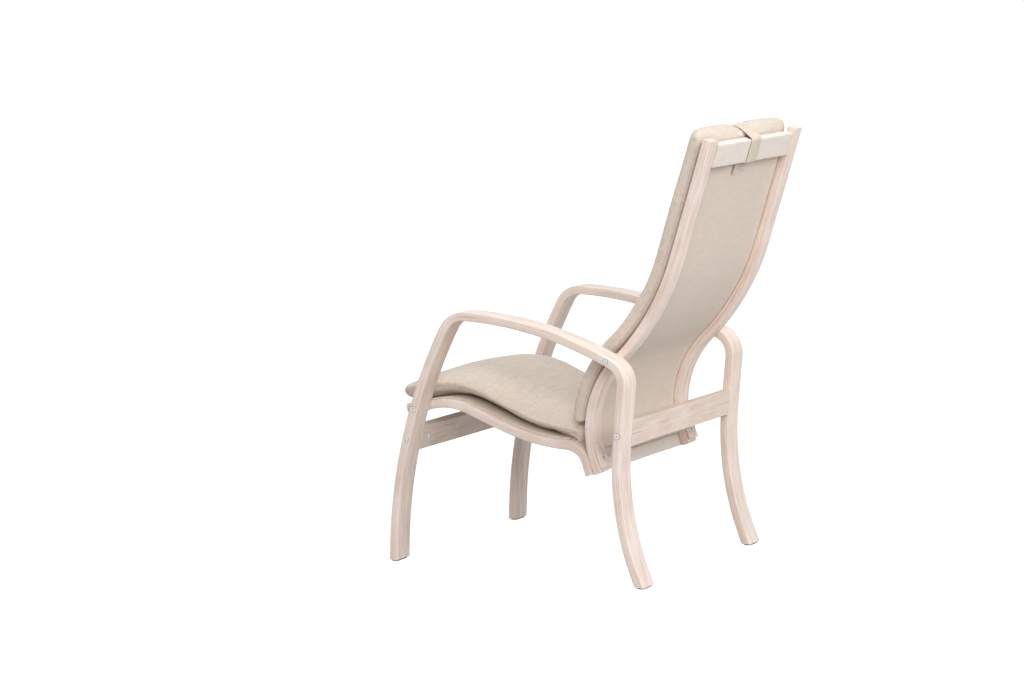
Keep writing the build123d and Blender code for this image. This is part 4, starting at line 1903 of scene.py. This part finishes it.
@dataclass
class Drape:
    """Places in the side plane where a band lies on a cushion, going round its roll."""

    cushion: bpy.types.Object
    centre: Place
    thickness: float
    first_angle: float = 62.0
    last_angle: float = 190.0
    steps: int = 12
    far: float = 150.0

    def over(self, x: float) -> list[Place]:
        """Return the places over the roll at a distance from the middle, from rear to front.

        Args:
            x: distance from the middle.

        Returns:
            The places.
        """
        tree = BVHTree.FromObject(self.cushion, bpy.context.evaluated_depsgraph_get())
        middle = self.centre.at(x)
        found = []
        turn = self.last_angle - self.first_angle
        for step in range(self.steps + 1):
            angle = math.radians(self.first_angle + turn * step / self.steps)
            along, across = self.far * math.sin(angle), -self.far * math.cos(angle)
            out = self.centre.shifted(along, across).at(x) - middle
            spot, _, _, _ = tree.ray_cast(middle + out, -out)
            spot += out.normalized() * self.thickness / 2 * MM
            found.append(Place(spot.y / MM, spot.z / MM, 0.0))
        return found


@dataclass
class Band:
    """A flat band of cloth along a row of places in the side plane, with soft bends and edges."""

    name: str
    node: str
    line: list[Place]
    width: float
    thickness: float
    material: bpy.types.Material
    spacing: float = 2.0
    softening: int = 6
    flare_start: float = 74.0
    flare_run: float = 62.0
    flare_left: float = 24.0
    flare_right: float = 36.0
    edge_share: float = 0.9
    ripple: float = 0.5
    ripple_length: float = 18.0
    ripple_width: float = 14.0
    crease: float = 0.8
    crease_width: float = 3.0
    crease_slant: float = 0.06

    def soft_line(self) -> np.ndarray:
        """Return the line's points, evenly spread and rounded at its corners.

        Returns:
            Rows of y and z.
        """
        marks = np.array([(place.y, place.z) for place in self.line])
        lengths = np.concatenate([[0], np.cumsum(np.linalg.norm(np.diff(marks, axis=0), axis=1))])
        even = np.linspace(0, lengths[-1], int(lengths[-1] / self.spacing))
        points = np.column_stack([np.interp(even, lengths, marks[:, axis]) for axis in (0, 1)])
        for _ in range(self.softening):
            points[1:-1] = (points[:-2] + 2 * points[1:-1] + points[2:]) / 4
        return points

    def build(self) -> bpy.types.Object:
        """Make the band and stand it for its node.

        Returns:
            The band.
        """
        half = self.width / 2
        thick = self.thickness / 2
        outline = rounded_corners((-half, -thick), (half, thick), thick * self.edge_share)
        points = self.soft_line()
        ahead = np.gradient(points, axis=0)
        rings = []
        for index, ((y, z), (along, up)) in enumerate(zip(points, ahead)):
            place = Place(y, z, math.degrees(math.atan2(up, along)))
            distance = index * self.spacing
            ring = []
            for x, across in outline:
                wave = Vector((distance / self.ripple_length, x / self.ripple_width, 0))
                ripple = self.ripple * noise.noise(wave)
                off = (x + self.crease_slant * distance) / self.crease_width
                crease = self.crease * math.exp(-(off**2))
                far = min(1.0, max(0.0, (distance - self.flare_start) / self.flare_run))
                wide = x - far * (self.flare_left if x > 0 else self.flare_right)
                ring.append(place.shifted(across=across + ripple - crease).at(wide))
            rings.append(ring)
        piece = new_object(self.name, ring_mesh(self.name, rings), self.material)
        smooth(piece.data, SOFT_CREASE)
        hand_over(piece, self.node)
        return piece


@dataclass
class Tab:
    """A flat tab of cloth behind a panel, its left end standing proud of the panel."""

    name: str
    node: str
    top: Place
    shift: float
    width: float
    height: float
    material: bpy.types.Material
    thickness: float = 2.4
    proud: float = 4.5
    proud_share: float = 0.55
    edge_share: float = 0.8
    slant: float = 1.2
    columns: int = 24
    stitch_margin: float = 0.06
    stitch_points: int = 14

    def lift(self, share: float) -> float:
        """Return how far the tab stands off the panel at a share of its width from the left."""
        return self.proud * max(0.0, 1 - share / self.proud_share) ** 1.5

    def spot(self, share: float, drop: float, off: float) -> Vector:
        """Return the point at a share of the width, a drop from the top and an offset.

        Args:
            share: share of the width.
            drop: drop from the top.
            off: offset.

        Returns:
            The point.
        """
        x = self.shift + self.width * (0.5 - share)
        slant = self.slant * math.sin(math.pi * share)
        return self.top.shifted(drop + slant, off + self.lift(share)).at(x)

    def stitch_line(self, drop: float) -> list[Vector]:
        """Return the points of a stitched line across the rear of the tab."""
        shares = np.linspace(self.stitch_margin, 1 - self.stitch_margin, self.stitch_points)
        return [self.spot(share, drop, self.thickness / 2) for share in shares]

    def build(self) -> bpy.types.Object:
        """Make the tab and stand it for its node.

        Returns:
            The tab.
        """
        half = self.thickness / 2
        outline = rounded_corners((0, -half), (self.height, half), half * self.edge_share)
        rings = []
        for column in range(self.columns + 1):
            share = column / self.columns
            rings.append([self.spot(share, drop, off) for drop, off in outline])
        piece = new_object(self.name, ring_mesh(self.name, rings), self.material)
        smooth(piece.data, SOFT_CREASE)
        hand_over(piece, self.node)
        return piece


@dataclass
class StitchRow:
    """A row of stitches along a line, each a short plump thread that dips into the cloth."""

    name: str
    points: list[Vector]
    material: bpy.types.Material
    pitch: float = 4.2
    stitch: float = 3.0
    thread: float = 0.8
    crease: float = 80.0

    def tree(self) -> bpy.types.NodeTree:
        """Return the tree that sets stitches along the mesh's edges.

        Returns:
            The tree.
        """
        tree = bpy.data.node_groups.new("stitch_row", "GeometryNodeTree")
        for label, way, kind in (
            ("Geometry", "INPUT", "Geometry"),
            ("Pitch", "INPUT", "Float"),
            ("Stitch length", "INPUT", "Float"),
            ("Thread", "INPUT", "Float"),
            ("Material", "INPUT", "Material"),
            ("Geometry", "OUTPUT", "Geometry"),
        ):
            tree.interface.new_socket(label, in_out=way, socket_type=f"NodeSocket{kind}")
        source = add_node(tree, "NodeGroupInput")
        line = add_node(tree, "GeometryNodeMeshToCurve", inputs={"Mesh": source.outputs["Geometry"]})
        spots = add_node(
            tree,
            "GeometryNodeResampleCurve",
            {"mode": "LENGTH"},
            {"Curve": line.outputs[0], "Length": source.outputs["Pitch"]},
        )
        ball = add_node(tree, "GeometryNodeMeshIcoSphere", inputs={"Radius": 0.5, "Subdivisions": 1})
        thread, length = source.outputs["Thread"], source.outputs["Stitch length"]
        size = add_node(tree, "ShaderNodeCombineXYZ", inputs={0: thread, 1: thread, 2: length})
        way = add_node(tree, "GeometryNodeInputTangent")
        turn = add_node(
            tree, "FunctionNodeAlignRotationToVector", {"axis": "Z"}, {"Vector": way.outputs[0]}
        )
        placed = add_node(
            tree,
            "GeometryNodeInstanceOnPoints",
            inputs={
                "Points": spots.outputs[0],
                "Instance": ball.outputs["Mesh"],
                "Rotation": turn.outputs[0],
                "Scale": size.outputs[0],
            },
        )
        real = add_node(tree, "GeometryNodeRealizeInstances", inputs={0: placed.outputs[0]})
        dressed = add_node(
            tree,
            "GeometryNodeSetMaterial",
            inputs={"Geometry": real.outputs[0], "Material": source.outputs["Material"]},
        )
        add_node(tree, "NodeGroupOutput", inputs={0: dressed.outputs[0]})
        return tree

    def build(self, slot: Slot) -> bpy.types.Object:
        """Make the row of stitches.

        Args:
            slot: material slot of the thread; not used.

        Returns:
            The stitches.
        """
        mesh = bpy.data.meshes.new(self.name)
        mesh.from_pydata(self.points, [(k, k + 1) for k in range(len(self.points) - 1)], [])
        piece = bpy.data.objects.new(self.name, mesh)
        bpy.context.scene.collection.objects.link(piece)
        rows = piece.modifiers.new("Stitches", "NODES")
        rows.node_group = self.tree()
        values = {
            "Pitch": self.pitch * MM,
            "Stitch length": self.stitch * MM,
            "Thread": self.thread * MM,
            "Material": self.material,
        }
        for item in rows.node_group.interface.items_tree:
            if item.name in values:
                rows[item.identifier] = values[item.name]
        apply_modifiers(piece)
        smooth(piece.data, self.crease)
        hand_over(piece)
        return piece


@dataclass
class SoftGoods:
    """The canvas, the cushions and the strap that holds the back cushion."""

    sizes: Sizes
    plan: LinePlan
    lines: Lines
    finishes: Finishes
    top_bar_height: float = 50.0
    front_bar_height: float = 34.0
    lower_bar_height: float = 26.0
    sleeve_end_gap: float = 7.0
    sleeve_centre_gap: float = 58.0
    clearance: float = 0.3
    panel_rise: float = 96.0
    panel_foot: float = 50.0
    panel_rear_gap: float = 4.0
    seat_hem_ridge: float = 1.6
    window_half: float = 27.0
    window_height: float = 26.0
    edge_lift: float = 10.0
    seat_crown: float = 58.0
    seat_edge: float = 43.0
    seat_rear_crown: float = 45.0
    seat_rear_edge: float = 29.0
    seat_rear_droop: float = 16.0
    seat_overhang: float = 3.0
    back_crown: float = 60.0
    back_edge: float = 42.0
    back_rest_gap: float = 1.0
    soft_bulge: float = 0.3
    roll_bulge: float = 0.42
    roll_drop: float = 8.0
    strap_width: float = 54.0
    strap_thickness: float = 2.4
    strap_front: float = 34.0
    strap_lean: float = 22.0
    tab_width: float = 80.0
    tab_shift: float = 9.0
    tab_height: float = 30.0
    tab_seam: float = 5.0

    def build(self) -> None:
        """Make every soft piece."""
        self.panels()
        self.sleeves()
        self.seat_cushion()
        self.strap(self.back_cushion())

    @property
    def bend_start(self) -> float:
        """Distance along the seat rail at which its rear bend starts."""
        return self.lines.seat.joints()[-3]

    @property
    def top_bar_low(self) -> float:
        """Distance along the back rail of the lower edge of the top bar."""
        return self.lines.back.length - self.plan.top_bar_drop - self.top_bar_height / 2

    @property
    def cushion_base(self) -> float:
        """Height of the cushions' undersides above the rails."""
        return 2 * self.sizes.lift + self.sizes.canvas

    def panels(self) -> None:
        """Make the canvas panels of the back and of the seat."""
        # Both panels take the darker canvas copy, whose tone is painted shade
        low = self.top_bar_low
        Panel(
            "back_panel",
            "back_sling",
            self.lines.back,
            self.panel_foot,
            low + self.top_bar_height,
            self.panel_rise,
            low,
            ["back_top_bar", "back_rail_left", "back_rail_right"],
            self.finishes.panel,
            self.sizes,
            Opening(self.window_half, low - self.window_height, low),
        ).build()
        bar_half = self.front_bar_height / 2
        Panel(
            "seat_panel",
            "seat_sling",
            self.lines.seat,
            self.plan.front_bar_setback - bar_half,
            self.lines.seat.length - self.plan.seat_tail_drop,
            self.plan.front_bar_setback + bar_half,
            self.bend_start - self.panel_rear_gap,
            ["seat_front_bar", "seat_rail_left", "seat_rail_right"],
            self.finishes.panel,
            self.sizes,
            hem_ridge=self.seat_hem_ridge,
        ).build()

    def sleeves(self) -> None:
        """Make the canvas sleeves round the three bars."""
        wall = self.sizes.canvas + self.clearance
        thickness = self.sizes.thickness - self.sizes.canvas
        outer = self.sizes.rail_inner - self.sleeve_end_gap
        inner = self.sleeve_centre_gap / 2
        top, front, lower = self.lines.top_bar, self.lines.front_bar, self.lines.lower_bar
        for node, place, height, low, high, bar in (
            ("top_sleeve_left", top, self.top_bar_height, inner, outer, "back_top_bar"),
            ("top_sleeve_right", top, self.top_bar_height, -outer, -inner, "back_top_bar"),
            ("front_sleeve", front, self.front_bar_height, -outer, outer, "seat_front_bar"),
            ("lower_sleeve", lower, self.lower_bar_height, -outer, outer, "seat_rear_bar"),
        ):
            Sleeve(
                f"{node}_cloth",
                node,
                place,
                height + 2 * wall - self.sizes.canvas,
                thickness,
                low,
                high,
                bar,
                self.finishes.canvas,
                self.sizes,
            ).build()

    def seat_cushion(self) -> None:
        """Make the seat cushion, whose rear droops towards the back rail."""
        seat = self.lines.seat
        base = self.cushion_base
        half = self.sizes.half
        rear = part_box("seat_cushion")[1][1] / MM
        straight = Path(seat.start, seat.legs[:-2])
        heading = straight.end.heading - self.seat_rear_droop

        def miss(radius: float) -> float:
            """Return how far the rear of the cushion misses its place with a last bend.

            Args:
                radius: radius of the last bend.

            Returns:
                The distance along Y.
            """
            end = straight.turn_to(radius, heading).end
            reach = self.soft_bulge * (self.seat_rear_crown - base)
            return end.shifted(reach, half + (self.seat_rear_crown + base) / 2).y - rear

        bend = solved(miss, self.plan.seat_bend_radius, self.sizes.frame_outer)
        path = straight.turn_to(bend, heading)
        shape = PadShape(
            half + self.seat_crown,
            half + self.seat_edge,
            half + self.edge_lift,
            half + base,
            crown_drift=self.seat_rear_crown - self.seat_crown,
            edge_drift=self.seat_rear_edge - self.seat_edge,
            slope_lift=8.0,
            rear_drop=7.0,
            rear_sink=11.0,
        )
        Cushion(
            "seat_cushion_cover",
            "seat_cushion",
            path,
            shape,
            -self.seat_overhang,
            path.length,
            self.roll_bulge,
            self.soft_bulge,
            0.0,
            self.finishes.linen,
            half + base,
            roll_at=0.0,
            folds=2.2,
            undercut=12.0,
        ).build()

    def back_cushion(self) -> bpy.types.Object:
        """Make the back cushion, whose foot stands on the rear of the seat cushion.

        Returns:
            The cushion.
        """
        back = self.lines.back
        half = self.sizes.half
        base = self.cushion_base
        side_bulge = self.soft_bulge * (self.back_edge - self.edge_lift)
        middle_bulge = self.soft_bulge * (self.back_crown - base)
        foot_z = self.lines.seat.place(self.bend_start).z + half
        foot_z = foot_z + self.seat_rear_edge + self.back_rest_gap + side_bulge
        foot = solved(lambda distance: back.place(distance).z - foot_z, 0, self.plan.arm_bolt_rise)
        return Cushion(
            "back_cushion_cover",
            "back_cushion",
            back,
            PadShape(
                half + self.back_crown,
                half + self.back_edge,
                half + self.edge_lift,
                half + base,
                nose_fade=1.0,
            ),
            foot,
            back.length - self.roll_drop,
            self.soft_bulge,
            self.roll_bulge,
            self.seat_rear_crown + middle_bulge - self.seat_rear_edge - side_bulge,
            self.finishes.linen,
            half + base,
            grooves=self.strap_grooves(),
        ).build()

    def strap_grooves(self) -> tuple[Groove, ...]:
        """Return where the strap draws the roll of the back cushion in.

        Returns:
            The grooves.
        """
        beside = self.strap_width / 2 + 4
        return (
            Groove(beside, 9.0, 12.0, 0.55),
            Groove(-beside, 9.0, 3.0, 0.8),
            Groove(-10.0, 42.0, 4.0),
        )

    def strap(self, cushion: bpy.types.Object) -> None:
        """Make the strap over the cushion's roll, the tab under it and the tab's stitches.

        Args:
            cushion: the back cushion.
        """
        back = self.lines.back
        bar = self.lines.top_bar
        off = self.strap_thickness / 2
        rear = self.sizes.thickness / 2 + off
        half = self.top_bar_height / 2 + (2 * self.clearance + self.sizes.canvas + off)
        roll = back.place(back.length - self.roll_drop - self.strap_front / 2)
        centre = roll.shifted(across=self.sizes.half + self.back_edge - self.edge_lift)
        line = [bar.shifted(-half, rear), bar.shifted(-half, -rear), bar.shifted(half, -rear)]
        line += Drape(cushion, centre, self.strap_thickness).over(-self.strap_lean)
        Band(
            "cushion_strap_cloth",
            "cushion_strap",
            line,
            self.strap_width,
            self.strap_thickness,
            self.finishes.linen,
        ).build()
        top = self.top_bar_height / 2 + 2 * self.clearance + self.strap_thickness
        tab = Tab(
            "strap_tab_cloth",
            "strap_tab",
            bar.shifted(-top, self.sizes.half + self.sizes.lift - off).turned(2 * UPRIGHT),
            self.tab_shift,
            self.tab_width,
            self.tab_height,
            self.finishes.linen,
        )
        tab.build()
        for index in range(2):
            points = tab.stitch_line(self.tab_height - (index + 1) * self.tab_seam)
            StitchRow(f"tab_stitches_{index}", points, self.finishes.thread).build(Slot.LINEN)


@dataclass
class Camera:
    """The photograph's viewpoint, from the angles and the distance that were measured in it."""

    azimuth: float = 115.585
    elevation: float = 7.575
    roll: float = 1.368
    lens: float = 133.15
    aim_right: float = 431.1
    aim_up: float = -507.0
    distance: float = 8591.4
    sensor: float = 36.0
    # The measured frame has its zero at the rear edge of the rear feet
    rear_edge: float = 276.5

    def build(self) -> None:
        """Make the camera and set it as the scene's own."""
        angles = (self.azimuth, self.elevation, self.roll)
        azimuth, elevation, roll = (math.radians(angle) for angle in angles)
        level = math.cos(elevation)
        back = Vector((math.sin(azimuth) * level, -math.cos(azimuth) * level, math.sin(elevation)))
        across = Vector((0, 0, 1)).cross(back).normalized()
        rise = back.cross(across)
        right = across * math.cos(roll) + rise * math.sin(roll)
        up = rise * math.cos(roll) - across * math.sin(roll)
        centre = (back * self.distance - right * self.aim_right - up * self.aim_up) * MM
        centre.y += self.rear_edge * MM
        data = bpy.data.cameras.new("photo_camera")
        data.lens = self.lens
        data.sensor_width = self.sensor
        data.clip_end = 100.0
        camera = bpy.data.objects.new("photo_camera", data)
        turn = Matrix((right, up, back)).transposed().to_4x4()
        camera.matrix_world = Matrix.Translation(centre) @ turn
        bpy.context.scene.collection.objects.link(camera)
        bpy.context.scene.camera = camera


@dataclass(frozen=True)
class Softbox:
    """A large square lamp aimed at the middle of the chair."""

    name: str
    spot: tuple[float, float, float]
    size: float
    power: float

    def build(self) -> None:
        """Make the lamp."""
        data = bpy.data.lights.new(self.name, "AREA")
        data.shape = "SQUARE"
        data.size = self.size
        data.energy = self.power
        lamp = bpy.data.objects.new(self.name, data)
        lamp.location = self.spot
        aim = Vector((0, 0, 0.5)) - Vector(self.spot)
        lamp.rotation_euler = aim.to_track_quat("-Z", "Y").to_euler()
        bpy.context.scene.collection.objects.link(lamp)


@dataclass
class Studio:
    """A pale floor and soft, even light."""

    floor_size: float = 60.0
    floor_colour: str = "#A6A29F"
    floor_glow: float = 0.88
    world_colour: str = "#FFFFFF"
    world_strength: float = 0.47
    lamps: tuple[Softbox, ...] = (
        Softbox("key", (5.2, 2.6, 2.6), 2.6, 165.0),
        Softbox("fill", (0.5, 5.6, 3.8), 3.5, 190.0),
        Softbox("top", (0.5, -0.8, 5.5), 3.5, 110.0),
    )

    def build(self) -> None:
        """Make the floor, the world and the lamps."""
        self.floor()
        self.world()
        for lamp in self.lamps:
            lamp.build()

    def floor(self) -> None:
        """Make the floor, which looks white to the camera and keeps the object's shadow."""
        mesh = bpy.data.meshes.new("floor")
        half = self.floor_size / 2
        corners = [(-half, -half, 0), (half, -half, 0), (half, half, 0), (-half, half, 0)]
        mesh.from_pydata(corners, [], [(0, 1, 2, 3)])
        material, tree, shader = new_material("matt_white_floor")
        shader.inputs["Base Color"].default_value = linear(self.floor_colour)
        shader.inputs["Roughness"].default_value = 0.9
        shader.inputs["Specular IOR Level"].default_value = 0.1
        glow = {0: self.white_rays(tree), 1: self.floor_glow}
        strength = add_node(tree, "ShaderNodeMath", {"operation": "MULTIPLY"}, glow)
        tree.links.new(strength.outputs[0], shader.inputs["Emission Strength"])
        shader.inputs["Emission Color"].default_value = (1, 1, 1, 1)
        floor = new_object("floor", mesh, material)

    def world(self) -> None:
        """Make the world white to the camera and a soft light to the object."""
        world = bpy.data.worlds.new("soft_white")
        bpy.context.scene.world = world
        world.use_nodes = True
        tree = world.node_tree
        background = tree.nodes["Background"]
        background.inputs["Color"].default_value = linear(self.world_colour)
        strength = add_node(
            tree,
            "ShaderNodeMapRange",
            inputs={"Value": self.white_rays(tree), "To Min": self.world_strength, "To Max": 1.0},
        )
        tree.links.new(strength.outputs[0], background.inputs["Strength"])

    def white_rays(self, tree: bpy.types.NodeTree) -> bpy.types.NodeSocket:
        """Pick the rays that see plain white: the camera's own, mirrored and let-through ones.

        Args:
            tree: the node tree to add to.

        Returns:
            A socket that is 1 for such a ray and 0 for any other.
        """
        rays = add_node(tree, "ShaderNodeLightPath")
        picked = rays.outputs["Is Camera Ray"]
        for name in ("Is Glossy Ray", "Is Transmission Ray"):
            pair = {0: picked, 1: rays.outputs[name]}
            picked = add_node(tree, "ShaderNodeMath", {"operation": "MAXIMUM"}, pair).outputs[0]
        return picked


def dress_nodes(frame: dict, finishes: Finishes) -> None:
    """Give every CAD node the finish of its material slot, and the spacers the bars' wood.

    Args:
        frame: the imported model.
        finishes: every finish.
    """
    slots = {part["node"]: Slot(part["material_slot"]) for part in frame["record"]["subparts"]}
    for name, node in frame["nodes"].items():
        node.data.materials.clear()
        wooden = name == "spacer_washers"
        node.data.materials.append(finishes.bar_wood if wooden else finishes.for_slot(slots[name]))


def main() -> None:
    """Build the chair's looks in order."""
    logging.basicConfig(level=logging.INFO, format="%(name)s: %(message)s")
    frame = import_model()
    bpy.context.scene.view_settings.view_transform = "Standard"
    sizes = Sizes()
    plan = LinePlan()
    lines = plan.lines(sizes)
    Camera().build()
    Studio().build()
    finishes = Finishes()
    dress_nodes(frame, finishes)
    SideFrames(sizes, lines, finishes).build()
    Rails(sizes, lines, finishes).build()
    SoftGoods(sizes, plan, lines, finishes).build()


if __name__ == "__main__":
    main()
